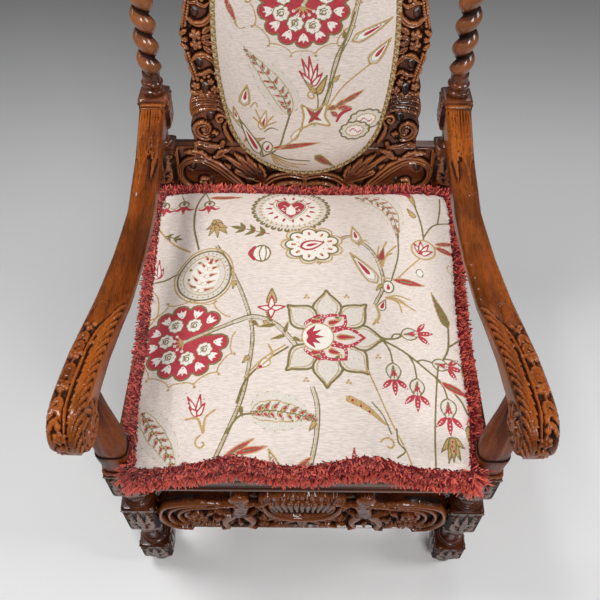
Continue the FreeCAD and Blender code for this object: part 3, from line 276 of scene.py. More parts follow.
def blurred(values, width):
    """Box blur, three times over, of a grid of heights."""
    width = max(1, int(width))
    for _ in range(3):
        for axis in (0, 1):
            padded = np.pad(values, [(width, width) if side == axis else (0, 0) for side in (0, 1)],
                mode="edge")
            total = np.cumsum(np.insert(padded, 0, 0, axis=axis), axis=axis)
            values = (np.take(total, range(2 * width + 1, total.shape[axis]), axis)
                - np.take(total, range(0, total.shape[axis] - 2 * width - 1), axis)) / (2 * width + 1)
    return values


class Relief:
    """Heights carved over a flat patch, x across and u up it. Where motifs meet, the highest stays."""

    def __init__(self, low, high, pitch, ground, fold_x=False, fold_u=None):
        self.pitch, self.low = pitch, low
        across = np.arange(low[0], high[0] + pitch * 0.99, pitch)
        up = np.arange(low[1], high[1] + pitch * 0.99, pitch)
        self.x, self.u = np.meshgrid(across, up, indexing="ij")
        self.height = np.full(self.x.shape, float(ground))
        self.ground = ground
        self.folded_x = np.abs(self.x) if fold_x else self.x
        self.folded_u = self.u if fold_u is None else np.abs(self.u - fold_u)

    def near(self, points, reach):
        low, high = points.min(0) - reach, points.max(0) + reach
        beside = (self.folded_x > low[0]) & (self.folded_x < high[0])
        return np.nonzero(beside & (self.folded_u > low[1]) & (self.folded_u < high[1]))

    def lay(self, near, height, inside):
        spot = near[0][inside], near[1][inside]
        self.height[spot] = np.maximum(self.height[spot], height[inside])

    def stroke(self, line, width, top, kind="round", lobes=0, veins=0.0, base=None):
        """A band, stem or leaf that follows a line. Widths are given along it, full width."""
        line = np.array(line, float)
        width = np.atleast_1d(np.array(width, float))
        near = self.near(line, width.max() / 2)
        if not len(near[0]):
            return
        away, along, side = nearest(self.folded_x[near], self.folded_u[near], line)
        half = np.interp(along, np.linspace(0, 1, len(width)), width) / 2
        if lobes:
            half = half * (0.74 + 0.26 * np.abs(np.sin(math.pi * lobes * along + 0.6)))
        share = away / np.maximum(half, 0.05)
        base = self.ground + 0.4 * (top - self.ground) if base is None else base
        bulge = np.sqrt(np.clip(1 - share ** 2, 0, 1))
        if kind == "round":
            height = base + (top - base) * bulge
        elif kind == "band":
            height = base + ((top - base) * np.clip(1 - share ** 6, 0, 1)
                * (0.5 + 0.5 * np.clip(share / 0.62, 0, 1) ** 2))
        elif kind == "ridges":
            height = base + (top - base) * bulge * (0.72 + 0.28 * np.cos(2 * math.pi * 1.5 * share))
        else:
            rib = np.exp(-(share / 0.16) ** 2)
            slant = np.cos(2 * math.pi * (veins * along - 0.9 * share)) if veins else 0.0
            height = base + (top - base) * bulge * (0.78 + 0.22 * share - 0.3 * rib + 0.2 * slant * share)
        self.lay(near, height, share < 1)

    def bend(self, points, *how, **more):
        """A stroke along a smooth line through a few points."""
        self.stroke(flowing(points), *how, **more)

    def leaf(self, points, width, top, lobes=4):
        widths = np.array([0.35, 0.85, 1.0, 0.9, 0.7, 0.45, 0.12]) * width
        self.bend(points, widths, top, "leaf", lobes, lobes)

    def scroll(self, centre, outer, inner, start, turns, width, top, kind="band"):
        self.stroke(spiral(centre, outer, inner, start, turns), np.array([1.0, 0.9, 0.75, 0.6]) * width,
            top, kind)
        self.bead(centre, max(inner, width * 0.42), top)

    def bead(self, centre, radius, top, base=None):
        point = np.array([centre], float)
        near = self.near(point, radius)
        share = np.hypot(self.folded_x[near] - centre[0], self.folded_u[near] - centre[1]) / radius
        base = self.ground + 0.35 * (top - self.ground) if base is None else base
        self.lay(near, base + (top - base) * np.sqrt(np.clip(1 - share ** 2, 0, 1)), share < 1)

    def flower(self, centre, radius, top, petals=5, turn=0.0):
        point = np.array([centre], float)
        near = self.near(point, radius * 1.05)
        away_x, away_u = self.folded_x[near] - centre[0], self.folded_u[near] - centre[1]
        away, angle = np.hypot(away_x, away_u), np.arctan2(away_u, away_x) + math.radians(turn)
        lobe = np.abs(np.cos(petals * angle / 2))
        edge = radius * (0.62 + 0.38 * lobe ** 0.5)
        share = away / edge
        cup = 0.5 + 0.5 * np.sin(math.pi * np.clip(share, 0, 1)) * (0.45 + 0.55 * lobe)
        self.lay(near, self.ground + (top - self.ground) * cup * np.clip(1.25 - share ** 8, 0, 1),
            share < 1)
        self.bead(centre, radius * 0.27, top + 0.6, self.ground + 0.7 * (top - self.ground))

    def berries(self, points, radius, top):
        for point in points:
            self.bead(point, radius, top)

    def ease_edge(self, inside, width, drop):
        """Rounds the board's rim over, from the distance inside its outline."""
        share = np.clip(1 - inside / width, 0, 1)
        self.height -= drop * share ** 2

    def hollows(self, reach=3.2, depth=2.2):
        """Deep places below nought and proud edges above it: the oak is painted near black in the deep
        places, old polish and painted shade, and lighter on the edges, rubbing and a painted highlight.
        """
        return np.clip((self.height - blurred(self.height, reach / self.pitch)) / depth, -1, 1)

    def at(self, x, u, values=None):
        """Heights, or other values of the grid, at any places within it."""
        values = self.height if values is None else values
        across = np.clip((x - self.low[0]) / self.pitch, 0, values.shape[0] - 1.001)
        up = np.clip((u - self.low[1]) / self.pitch, 0, values.shape[1] - 1.001)
        column, row = across.astype(int), up.astype(int)
        part_across, part_up = across - column, up - row
        return ((1 - part_across) * (1 - part_up) * values[column, row]
            + part_across * (1 - part_up) * values[column + 1, row]
            + (1 - part_across) * part_up * values[column, row + 1]
            + part_across * part_up * values[column + 1, row + 1])


def piece(name, points, faces, material, layers=None, crease=50):
    """An object from points in metres and faces, shaded smooth but for its creases."""
    mesh = bpy.data.meshes.new(name)
    mesh.from_pydata(points, [], faces)
    for layer, values in (layers or {}).items():
        mesh.attributes.new(layer, "FLOAT", "POINT").data.foreach_set("value",
            np.asarray(values, np.float32))
    mesh.materials.append(material)
    mesh.shade_smooth()
    if crease:
        mesh.set_sharp_from_angle(angle=math.radians(crease))
    mesh.update()
    made = bpy.data.objects.new(name, mesh)
    scene.collection.objects.link(made)
    return made


def flat_leafage(half, low, high, top=3.6):
    """Low carving for one face of a block: acanthus leaves, curled tips and buds."""
    cut = Relief((-half, low), (half, high), 1.3, 0.0)
    tall = high - low
    scale = half / 28.0
    for way in (-1, 1):
        cut.leaf([(way * 4 * scale, low + 0.06 * tall), (way * 15 * scale, low + 0.2 * tall),
            (way * 20 * scale, low + 0.52 * tall)], 13 * scale, top * 0.9, 5)
        cut.leaf([(way * 3 * scale, low + 0.36 * tall), (way * 13 * scale, low + 0.5 * tall),
            (way * 17 * scale, low + 0.84 * tall)], 11 * scale, top * 0.95, 5)
        cut.scroll((way * 17 * scale, low + 0.86 * tall), 6.0 * scale, 1.5, 90 - way * 90, -way * 0.9,
            4.0 * scale, top, "round")
        cut.scroll((way * 8 * scale, low + 0.3 * tall), 5.0 * scale, 1.5, 90 + way * 90, way * 0.8,
            3.6 * scale, top * 0.9, "round")
        cut.bead((way * 20 * scale, low + 0.09 * tall), 3.0 * scale, top * 0.8, 0.5)
        cut.bead((way * 21 * scale, low + 0.66 * tall), 2.4 * scale, top * 0.7, 0.5)
    cut.leaf([(0, low + 0.06 * tall), (1.5 * scale, low + 0.5 * tall), (0, high - 0.06 * tall)],
        14 * scale, top * 1.1, 5)
    cut.bead((0, low + 0.16 * tall), 3.2 * scale, top * 1.1, 0.5)
    return cut


def leaf_height(cut, across, up):
    """Height of a face's carving, nought outside its patch and at its edges."""
    half, low, high = -cut.low[0], cut.low[1], cut.u.max()
    edge = np.clip(np.minimum.reduce([half - np.abs(across), up - low, high - up]) / 2.5, 0, 1)
    return cut.at(across, up) * edge


def lathe(rows, pitch=1.5):
    """Places along a profile of (height, half width, squareness) rows, close enough for smooth curves."""
    rows = np.array(rows, float)
    run = np.concatenate([[0], np.cumsum(np.hypot(np.diff(rows[:, 0]), np.diff(rows[:, 1])) + 0.01)])
    at = np.unique(np.concatenate([np.arange(0, run[-1], pitch), run]))
    return [np.interp(at, run, rows[:, column]) for column in range(3)]


def turning(points):
    return [(height, radius, 2.0) for height, radius in flowing(points, 5)]


def squared(low, high, half, ease=2.5):
    return [(low, half - ease, 9.0), (low + ease, half, 13.0), (high - ease, half, 13.0),
        (high, half - ease, 9.0)]


def stacked(name, rows, place, material, carvings=(), shape=None, sides=112, pitch=1.5):
    """Rings from a profile. place turns across, deep and height into metres; carvings go on the faces."""
    height, half, power = lathe(rows, pitch)
    turn = (np.arange(sides) + 0.5) / sides * 2 * math.pi
    turn = turn - 0.12 * np.sin(4 * turn) * (power.max() > 3)
    cosine, sine = np.cos(turn)[None, :], np.sin(turn)[None, :]
    squareness = power[:, None]
    reach = half[:, None] / (
        np.abs(cosine) ** squareness + np.abs(sine) ** squareness) ** (1 / squareness)
    lift = np.zeros(reach.shape)
    level = np.repeat(height[:, None], sides, 1)
    across, deep = reach * cosine, reach * sine
    for cut, way in carvings:
        on_side = np.abs(across) > np.abs(deep)
        held = (squareness > 5) & (level >= cut.low[1]) & (level <= cut.u.max())
        lift = np.where(held, leaf_height(cut, np.where(on_side, deep * np.sign(across), across * way),
            level), lift)
    # The carving's hollows: polish and painted shade darken its deep places, rubbing and a painted
    # highlight lighten its proud edges. A shape may add its own.
    hollow = np.clip((lift - blurred(lift, 2.6)) / 1.1, -1, 1)
    if shape is not None:
        swell, dark = shape(level, turn[None, :])
        lift, hollow = lift + swell, hollow + dark
    reach = reach + lift * np.where(squareness > 5, 1 / np.maximum(np.abs(cosine), np.abs(sine)), 1.0)
    points = place(reach * cosine, reach * sine, level).reshape(-1, 3)
    faces = np.arange(len(height) * sides).reshape(len(height), sides)
    quads = np.stack([faces[:-1], np.roll(faces[:-1], -1, 1), np.roll(faces[1:], -1, 1), faces[1:]],
        -1).reshape(-1, 4)
    ends = np.array([[0.0, 0.0, height[0]], [0.0, 0.0, height[-1]]])
    points = np.vstack([points, place(ends[:, 0], ends[:, 1], ends[:, 2])])
    total = len(height) * sides
    fans = [[total, (step + 1) % sides, step] for step in range(sides)]
    fans += [[total + 1, total - sides + step, total - sides + (step + 1) % sides]
        for step in range(sides)]
    trial = place(np.array([0.0, 1, 0, 0]), np.array([0.0, 0, 1, 0]),
        height[0] + np.array([0.0, 0, 0, 1]))
    sideways, backwards, along = trial[1:] - trial[0]
    faces = quads.tolist() + fans
    if np.dot(np.cross(sideways, backwards), along) < 0:
        faces = [face[::-1] for face in faces]
    layers = {"hollow": np.concatenate([np.clip(hollow, -1, 1).ravel(), [0, 0]])}
    return piece(name, points, faces, material, layers, 40)


def wooden(made, node):
    """A rigid wooden piece that stands in for one of the CAD's."""
    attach(made, "frame")
    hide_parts(node)


leg_across, leg_deep = 278, -299.1
leg_rows = turning([(0.0, 15), (3, 20), (10, 22.4), (20, 22.2), (30, 18), (36, 15.2), (41.8, 17)])
leg_rows += squared(42.0, 102, 28)
leg_rows += turning([(102.2, 22), (104, 23.5), (108, 23.5), (110, 21)]) + turning([(110.5, 19.5),
    (113, 21.2), (116, 19.5)])
leg_rows += turning([(116.6, 17.5), (135, 17.3), (152, 18), (170, 22.4), (183, 26), (190, 25.5),
    (195.6, 23)])
leg_rows += squared(196.0, 293, 28)
leg_rows += turning([(293.3, 23), (296, 25), (299, 25), (301.5, 22)]) + turning([(302, 20.5),
    (304.5, 22.6), (307, 20.5)])
leg_rows += turning([(307.6, 18.5), (316, 17.2), (326, 18.2), (336, 22), (345, 26), (350, 26.4),
    (354.6, 24)])
leg_rows += squared(355.0, 439.7, 28, 3.5)
leg_carvings = [(flat_leafage(26, 44, 100, 2.6), 1), (flat_leafage(26, 199, 290, 3.2), 1),
    (flat_leafage(26, 358, 437, 3.2), 1)]
for side in (-1, 1):
    def leg_place(across, deep, level, side=side):
        return np.stack([side * (leg_across + across), leg_deep + deep, level], -1) / 1000

    label = "left" if side < 0 else "right"
    wooden(stacked("carved_front_leg_" + label, leg_rows, leg_place, oak_leg_shaded, leg_carvings),
        "front_leg_" + label)

# Back posts of the same oak, one piece each from the floor to the finial: a raked leg, carved blocks,
# a vase, the block that takes the arm, rings, an open barley twist and a top block. Above the seat the
# posts lean back with the back frame.
oak_upright = waxed_oak("waxed_oak_upright", "z", "34180C", "7A3E22", "B06C3C", 0.22, "BC7848", 0.8)
lean = math.radians(9)
seat_level = 440
post_middle = 232.902


def on_back(x, u, depth):
    """From across, up the lean and depth on the leaning back, in millimetres, to metres."""
    x, u, depth = np.broadcast_arrays(x, u, depth)
    y = post_middle + depth * math.cos(lean) + u * math.sin(lean)
    z = seat_level - depth * math.sin(lean) + u * math.cos(lean)
    return np.stack([x, y, z], -1) / 1000


post_rows = [(-439.7, 20.0, 13.0), (-438, 21.0, 13.0), (-110, 24.7, 13.0), (-70, 25.0, 13.0),
    (-3, 25.0, 13.0)]
post_rows += squared(0.0, 137, 25)
post_rows += turning([(137.3, 21), (141, 21), (143, 17.4), (148, 15), (160, 15.6), (168, 18.4),
    (173, 20.6), (178.6, 20)])
post_rows += squared(179.0, 239, 25)
post_rows += turning([(239.3, 17), (242, 18.5), (247, 18.5), (249.5, 16)]) + turning([(250, 15),
    (252, 15), (254, 15.5)])
post_rows += turning([(254.4, 17), (257.5, 18.4), (261, 18.4), (264, 16.5)]) + turning([(264.4, 15.6),
    (270, 15), (275, 15)])
post_rows += [(276, 15.0, 2.0), (537, 15.0, 2.0)]
post_rows += turning([(538, 15), (541, 18), (546, 18.3), (551.4, 16)])
post_rows += squared(552.0, 655.5, 25)
post_carvings = [(flat_leafage(23, 60, 134, 2.6), 1), (flat_leafage(23, 181, 237, 2.2), 1),
    (flat_leafage(23, 555, 653, 2.8), 1)]


def twist_shape(level, turn):
    """One full cord of a barley twist, fading into the rings at both ends. Its grooves are painted near
    black, painted shade and old polish, and its cords a little lighter, rubbing and a painted highlight.
    """
    share = np.clip(np.minimum(level - 275, 538 - level) / 12, 0, 1)
    wave = 2 * np.abs(np.cos((turn - 2 * math.pi * level / 38.0) / 2)) - 1
    return share * 5.0 * wave, share * np.clip(wave * 1.3 - 0.1, -1, 0.5)


for side in (-1, 1):
    def post_place(across, deep, level, side=side):
        nought = np.zeros(np.shape(across))
        spread = np.stack([side * (259 + across), nought, nought], -1) / 1000
        high, low = np.maximum(level, 0), np.minimum(level, 0)
        upper = on_back(nought, high, deep)
        rake = np.clip(-low - 70, 0, None) / 370 * 40.0
        lower = np.stack([nought, post_middle + deep + rake, seat_level + low], -1) / 1000
        blend = np.clip(level / 40.0, 0, 1)[..., None]
        leant = np.where(level[..., None] > 0, upper, lower)
        upright = np.stack([nought, post_middle + deep + high * math.sin(lean),
            seat_level + high * math.cos(lean)], -1) / 1000
        return spread + np.where(level[..., None] > 0, leant * blend + upright * (1 - blend), leant)

    label = "left" if side < 0 else "right"
    wooden(stacked("twisted_post_" + label, post_rows, post_place, oak_upright, post_carvings,
        twist_shape, 104, 1.6), "back_post_" + label)

# Carved front stretcher: one oak board 34 mm thick, tenoned between the legs. It has a crown and a
# crescent in the middle, a curly-headed child on each side, and a large ridged volute with flowers.
# The stretcher's and front rail's oak is painted darker than the oak above: painted shade, for parts that
# sit low under the seat.
oak_low_shaded = waxed_oak("waxed_oak_low_shaded", "x", "1E0D06", "54250E", "863F17", 0.2, "96501F", 0.5)


def in_outline(x, u, outline):
    """Distance inside a closed outline, below nought outside it."""
    closed = np.vstack([outline, outline[:1]])
    away = np.empty(len(x))
    odd = np.zeros(len(x), bool)
    for first in range(0, len(x), 20000):
        part = slice(first, first + 20000)
        away[part] = nearest(x[part], u[part], closed)[0]
        begin, end = closed[:-1], closed[1:]
        crosses = (begin[:, 1] > u[part, None]) != (end[:, 1] > u[part, None])
        with np.errstate(divide="ignore", invalid="ignore"):
            at = begin[:, 0] + ((u[part, None] - begin[:, 1]) * (end[:, 0] - begin[:, 0])
                / (end[:, 1] - begin[:, 1]))
        odd[part] = (crosses & (x[part, None] < at)).sum(1) % 2 == 1
    return np.where(odd, away, -away)


def ring(centre, wide, tall, steps=28):
    turn = np.linspace(0, 2 * math.pi, steps, endpoint=False)
    return np.stack([centre[0] + wide * np.cos(turn), centre[1] + tall * np.sin(turn)], 1)


def room(relief, outline, holes):
    """Distance to the nearest sawn edge of a board, over its whole grid."""
    x, u = relief.folded_x.ravel(), relief.u.ravel()
    inside = in_outline(x, u, outline)
    for hole in holes:
        inside = np.minimum(inside, -in_outline(x, u, hole))
    return inside.reshape(relief.x.shape)


def chained(edges):
    """Loops of points from the edges round a sheet."""
    after = {}
    for tail, head in edges:
        after.setdefault(tail, []).append(head)
    loops = []
    while after:
        start = next(iter(after))
        loop, point = [], start
        while point in after:
            loop.append(point)
            ways = after[point]
            following = ways.pop()
            if not ways:
                del after[point]
            point = following
        loops.append(loop)
    return loops


def carved_board(name, relief, inside, place, back, material, wall=(0.08, 0.3, 0.65), wall_push=None):
    """A board with the relief in front, a plain back, and walls along its sawn and pierced edges.
    place turns across, up and depth into metres; depth runs back from the relief's nought."""
    pitch = relief.pitch
    keep = np.minimum.reduce([inside[:-1, :-1], inside[1:, :-1], inside[1:, 1:],
        inside[:-1, 1:]]) > -0.45 * pitch
    used = np.zeros(inside.shape, int)
    for column in (0, 1):
        for row in (0, 1):
            used[column:column + keep.shape[0], row:row + keep.shape[1]] += keep
    number = np.full(inside.shape, -1)
    number[used > 0] = np.arange((used > 0).sum())
    x, u = relief.x.copy(), relief.u.copy()
    rim = (used > 0) & (used < 4)
    slope_x, slope_u = np.gradient(inside, pitch)
    steep = np.maximum(slope_x ** 2 + slope_u ** 2, 0.25)
    x[rim] -= (inside * slope_x / steep)[rim]
    u[rim] -= (inside * slope_u / steep)[rim]
    spots = used > 0
    x, u, height = x[spots], u[spots], relief.height[spots]
    # The relief's hollows: polish and painted shade darken its deep places, rubbing and a painted highlight
    # lighten its proud edges.
    wear_and_shade = relief.hollows()[spots]
    quads = np.stack([number[:-1, :-1][keep], number[1:, :-1][keep], number[1:, 1:][keep],
        number[:-1, 1:][keep]], 1)
    far = back(x, u) if callable(back) else np.full(len(x), float(back))
    count = len(x)
    points = [place(x, u, -height)]
    layers = [wear_and_shade]
    faces = [quads, quads[:, ::-1] + count]
    points.append(place(x, u, far))
    layers.append(np.full(count, -0.05))
    sides = np.concatenate([quads[:, [step, (step + 1) % 4]] for step in range(4)])
    key = sides.min(1) * count + sides.max(1)
    _, first, times = np.unique(key, return_index=True, return_counts=True)
    total = 2 * count
    for loop in chained(sides[first[times == 1]].tolist()):
        loop = np.array(loop)
        rings = [loop]
        flow = np.stack([x[loop], u[loop]], 1)
        flow = np.roll(flow, -1, 0) - np.roll(flow, 1, 0)
        flow /= np.maximum(np.hypot(flow[:, 0], flow[:, 1]), 1e-6)[:, None]
        for share in wall:
            # wall_push may also give hollows for the walls: polish and painted shade below nought, rubbing
            # and a painted highlight above.
            push, rubbed_and_shaded = (0.0, 0.0) if wall_push is None else wall_push(x[loop], u[loop], share)
            depth = -height[loop] * (1 - share) + far[loop] * share
            points.append(place(x[loop] + flow[:, 1] * push, u[loop] - flow[:, 0] * push, depth))
            layers.append(np.zeros(len(loop)) + rubbed_and_shaded)
            rings.append(np.arange(total, total + len(loop)))
            total += len(loop)
        rings.append(loop + count)
        for near, beyond in zip(rings, rings[1:]):
            faces.append(np.stack([np.roll(near, -1), near, beyond, np.roll(beyond, -1)], 1))
    points, faces = np.vstack(points), np.vstack(faces)
    first_corner, second_corner, third_corner = points[quads[0][:3]]
    inward = place(x[:1], u[:1], far[:1])[0] - points[0]
    if np.dot(np.cross(second_corner - first_corner, third_corner - first_corner), inward) > 0:
        faces = faces[:, ::-1]
    return piece(name, points, faces.tolist(), material, {"hollow": np.concatenate(layers)})


cut = Relief((-250, 180), (250, 356), 1.6, 2.0, fold_x=True)
half_edge = [(0, 180), (222, 180), (240, 190), (250, 206), (250, 258), (240, 284), (226, 306), (206, 314),
    (178, 316), (152, 313), (132, 312), (121, 320), (121, 338), (112, 350), (98, 350), (89, 342),
    (86, 326), (76, 322), (72, 338), (58, 343), (30, 349), (0, 355)]
stretcher_edge = np.vstack([flowing(half_edge, 3),
    [(-x, z) for x, z in flowing(half_edge, 3)[::-1][1:-1]]])
gaps = [ring((82, 296), 5.5, 7), ring((134, 282), 5, 7), ring((149, 236), 5, 8), ring((78, 262), 4.5, 5)]
gaps = gaps + [gap * (-1, 1) for gap in gaps]
cut.stroke([(0, 184), (228, 184)], 8, 9, "band")
for line, width, top in (
        (((112, 300), (150, 309), (196, 307), (232, 288), (245, 250), (240, 215), (222, 194), (196, 188)),
            10, 15),
        (((122, 292), (152, 296), (192, 295), (219, 277), (230, 248), (226, 218), (208, 202)), 8, 13.5),
        (((134, 284), (160, 286), (188, 282), (206, 266), (214, 244), (208, 222), (190, 210)), 7.5, 12.5)):
    cut.stroke(flowing(line), [0.5 * width, width, width, width, 0.8 * width, 0.6 * width], top, "round")
cut.scroll((184, 250), 19, 6, 60, -1.3, 7.5, 13, "round")
for foot, tip in (((150, 262), (166, 240)), ((206, 196), (230, 214)), ((150, 214), (136, 232)),
        ((158, 196), (138, 188)), ((210, 202), (226, 190))):
    cut.leaf([foot, ((foot[0] + tip[0]) / 2 + 2, (foot[1] + tip[1]) / 2 + 2), tip], 11, 11.5, 3)
cut.flower((184, 212), 15, 14, 6, 10)
cut.flower((160, 206), 10.5, 12.5, 5, 30)
cut.flower((207, 205), 10, 12.5, 5, 50)
cut.flower((171, 226), 8, 12, 5, 0)
cut.berries([(172, 194), (180, 192), (195, 194), (198, 222), (150, 218), (152, 228), (186, 232)], 4.2, 11)
cut.bend([(100, 322), (101, 300), (104, 280), (110, 258)], [16, 30, 25, 24], 16)
cut.bead((104, 274), 12.5, 17)
for place in ((94, 300), (110, 299)):
    cut.bead(place, 6.5, 17.2, 12)
cut.bend([(94, 309), (82, 303), (68, 309), (58, 320)], [12, 10, 8.5, 7], 16)
cut.berries([(56, 323), (60, 327), (164, 301), (160, 305)], 4, 15)
cut.bend([(110, 309), (126, 308), (144, 302), (160, 301)], [12, 11, 9, 7], 16.5)
cut.bend([(112, 262), (124, 242), (135, 218), (132, 194)], [19, 17, 13, 9], 15.5)
cut.bend([(102, 262), (94, 242), (86, 222), (92, 200)], [18, 16, 12, 8], 15)
cut.stroke([(130, 191), (142, 187)], [8, 5], 14)
cut.stroke([(92, 196), (82, 189)], [8, 5], 13.5)
cut.bend([(80, 268), (96, 256), (118, 258), (138, 268), (148, 280)], [7, 11, 12, 10, 5], 16.5, "ridges")
cut.bead((104.5, 333), 15.5, 20.5, 6)
cut.bead((104.5, 329), 12.0, 21.0, 12)
for place in ((99.5, 332), (109.5, 332)):
    cut.bead(place, 2.6, 21.4, 18)
cut.stroke([(104.5, 334), (104.5, 327)], [2.2, 4.0], 23.2, base=19)
cut.stroke([(101.3, 322.6), (107.7, 322.6)], 2.6, 21.2, base=18.4)
cut.bead((104.5, 318), 4.0, 20, 14)
for row, count in ((15.5, 11), (11.5, 9), (7.0, 6)):
    for step in range(count):
        angle = math.radians(-8 + 196 * step / (count - 1))
        if row > 11 or 30 < math.degrees(angle) < 150:
            cut.bead((104.5 + row * math.cos(angle), 336 + row * 0.78 * math.sin(angle)), 3.9,
                23.0 - 0.25 * row, 15)
cut.stroke([(0, 322), (40, 322), (70, 326)], [10, 10, 7], 14.5, "band")
cut.berries([(7 + 12 * step, 323) for step in range(6)], 3.6, 16.5)
for step, (x, z) in enumerate(((0, 343), (16, 341), (31, 339), (46, 336), (60, 334))):
    cut.leaf([(x, z - 10), (x, z), (x, z + 10)], 13, 15, 3)
    cut.bead((x + 8, z - 5), 3.4, 14.5)
cut.bend([(0, 350), (26, 346), (52, 340), (70, 334)], 4.5, 13)
for x in (0, 11, 22, 33, 44, 54):
    cut.bend([(x, 316), (x * 0.96, 300), (x * 0.8, 274)], [8, 12, 8], 12.5)
cut.bend([(66, 300), (60, 272), (44, 252), (22, 242), (0, 239)], [5, 10, 12, 13, 13], 16)
cut.bend([(56, 296), (50, 274), (36, 261), (18, 254), (0, 252)], [3, 5, 6, 6, 6], 13.5)
cut.stroke([(0, 306), (60, 308)], 4, 13.5)
cut.leaf([(0, 232), (0, 212), (0, 192)], 22, 13.5, 5)
for foot, tip in (((8, 230), (34, 206)), ((22, 232), (52, 222)), ((30, 200), (62, 194)),
        ((44, 238), (62, 226))):
    cut.leaf([foot, ((foot[0] + tip[0]) / 2, (foot[1] + tip[1]) / 2 + 3), tip], 12, 12.5, 4)
cut.scroll((66, 244), 13, 4, 120, 1.2, 7, 14)
cut.scroll((70, 208), 9, 3, 200, -1.1, 5.5, 12.5)
cut.leaf([(76, 290), (70, 282), (68, 270)], 9, 12, 3)
cut.leaf([(112, 216), (108, 202), (112, 190)], 10, 11, 3)
cut.leaf([(150, 190), (128, 204), (116, 228)], 9, 10, 4)
grain_dice = np.random.default_rng(11)
cut.height += blurred(grain_dice.normal(0, 1.0, cut.height.shape), 1.2) * 0.35
stretcher_room = room(cut, stretcher_edge, gaps)
cut.ease_edge(stretcher_room, 6, 4.0)


def stretcher_place(x, z, depth):
    return np.stack([x, leg_deep - 9.5 + depth, z], -1) / 1000


def stretcher_back(x, z):
    return 20.0 + 0.4 * np.sin(x / 7) * np.sin(z / 11)


wooden(carved_board("carved_stretcher", cut, stretcher_room, stretcher_place, stretcher_back, oak_low_shaded),
    "carved_front_stretcher")

# Front seat rail: an oak board tenoned into the legs, with small flower bosses along its face, a
# raised lip above them and a worn bead below.
rail_half, rail_low, rail_high = 250, 370, 439.8
cut = Relief((-rail_half, rail_low), (rail_half, rail_high), 1.6, 0.0)
for level, width, top in ((376, 11, 4.0), (384, 3, 1.2), (434, 7, 2.6)):
    cut.stroke([(-rail_half, level), (rail_half, level)], width, top)
for step in range(11):
    x = -225 + 45 * step
    cut.flower((x, 404), 9, 3.0, 6, 20 * step)
    cut.leaf([(x + 10, 404), (x + 16, 407), (x + 22, 404)], 7, 2.2, 2)
    cut.leaf([(x + 35, 404), (x + 29, 401), (x + 23, 404)], 7, 2.2, 2)
rail_room = np.minimum.reduce([rail_half - np.abs(cut.x), cut.u - rail_low, rail_high - cut.u])
cut.ease_edge(rail_room, 3, 1.2)


def rail_place(x, z, depth):
    return np.stack([x, leg_deep - 20 + depth, z], -1) / 1000


wooden(carved_board("carved_seat_rail", cut, rail_room, rail_place, 25.0, oak_low_shaded), "front_seat_rail")

# Sides of the back frame. Two pierced and carved boards of waxed oak 30 mm thick, dowelled between the
# posts and sawn to the oval opening. Scrolls, flowers, berries and leaves mirror about the oval's middle.
frame_back = 15.0
carved_ground = 8.0
oval_middle = 343


def oval_line(offset=0.0, steps=48):
    """The four-arc oval of the opening, larger all round by the offset."""
    end, rise, half_wide = 131.0, 127.0, 144.0
    side = (half_wide ** 2 + rise ** 2 - end ** 2) / (2 * (half_wide - end))
    join = math.atan2(rise, side - half_wide)
    line = []
    for way in (1, -1):
        for x, up, radius, first, last in ((-way * (side - half_wide), 0, side + offset, -join, join),
                (0, way * rise, end + offset, join, math.pi - join)):
            turn = np.linspace(first, last, steps, endpoint=False) + (0 if way > 0 else math.pi)
            line.append(np.stack([x + radius * np.cos(turn),
                oval_middle + up + radius * np.sin(turn)], 1))
    return np.vstack(line)


opening = oval_line()
rim_line = np.vstack([oval_line(5.0), oval_line(5.0)[:1]])

side_relief = Relief((96, 131), (208, 553), 1.3, carved_ground, fold_u=oval_middle)
side_edge = [(90, 133), (199, 133), (198, 150), (201, 165), (200, 182), (196, 196), (199, 212),
    (197, 230), (193, 240), (195, 254), (192, 268), (189, 280), (193, 290), (192, 300), (197, 312),
    (196, 322), (202, 331), (199, 343)]
side_edge = np.array(side_edge + [(x, 2 * oval_middle - u) for x, u in side_edge[-2::-1]], float)
side_edge = np.vstack([side_edge[:1], flowing(side_edge[1:-1], 4), side_edge[-1:]])
side_holes = [ring((x, oval_middle + way * up), wide, tall)
    for x, up, wide, tall in ((175.1, 44, 5.5, 8), (169.2, 90, 5.5, 9), (165.2, 146.7, 5.5, 8.4),
    (163.2, 184.4, 5.5, 7)) for way in (-1, 1)]
side_room = room(side_relief, side_edge, side_holes + [opening])
cut = side_relief
cut.stroke(np.stack([rim_line[:, 0], np.abs(rim_line[:, 1] - oval_middle)], 1)[:97], 8, 14.5)
cut.scroll((177, 169), 19.5, 6.5, 150, -1.15, 12, 18.5, "band")
cut.stroke(spiral((177, 169), 25, 16, 160, -0.7), [3, 4, 4, 2], 16)
cut.scroll((147, 148), 10, 3, 200, 1.1, 6.5, 17.5, "round")
cut.bend([(146, 198), (152, 208), (168, 206), (184, 200), (197, 204)], [8, 11, 12, 9], 16, "ridges")
cut.bend([(130, 196), (138, 180), (141, 164), (136, 150)], [6, 9, 8, 4], 16.5, "leaf", 3, 3)
for shift, top in ((0, 18), (11, 17), (22, 16.5), (33, 15.5)):
    cut.bend([(200, 146 - shift), (190, 133 - shift), (172, 126 - shift * 0.8), (150, 127 - shift * 0.75),
        (140, 136 - shift * 0.8)], [5, 11, 12, 10, 4], top, "ridges")
cut.flower((151, 90), 9, 17.5)
cut.flower((184, 84), 8, 17)
cut.flower((158, 76), 7, 16.5, turn=30)
cut.berries([(165, 104), (157, 104), (146, 103), (143, 78), (148, 68), (173, 74), (180, 71), (192, 96),
    (187, 98), (177, 102), (161, 66), (168, 67)], 3.6, 16)
for step in range(11):
    across, up = 199 - step * 1.1, 22 + step * 4.8
    cut.bead((across - 2, up), 3.4, 17)
    cut.bead((across - 8, up + 2.4), 3.0, 16)
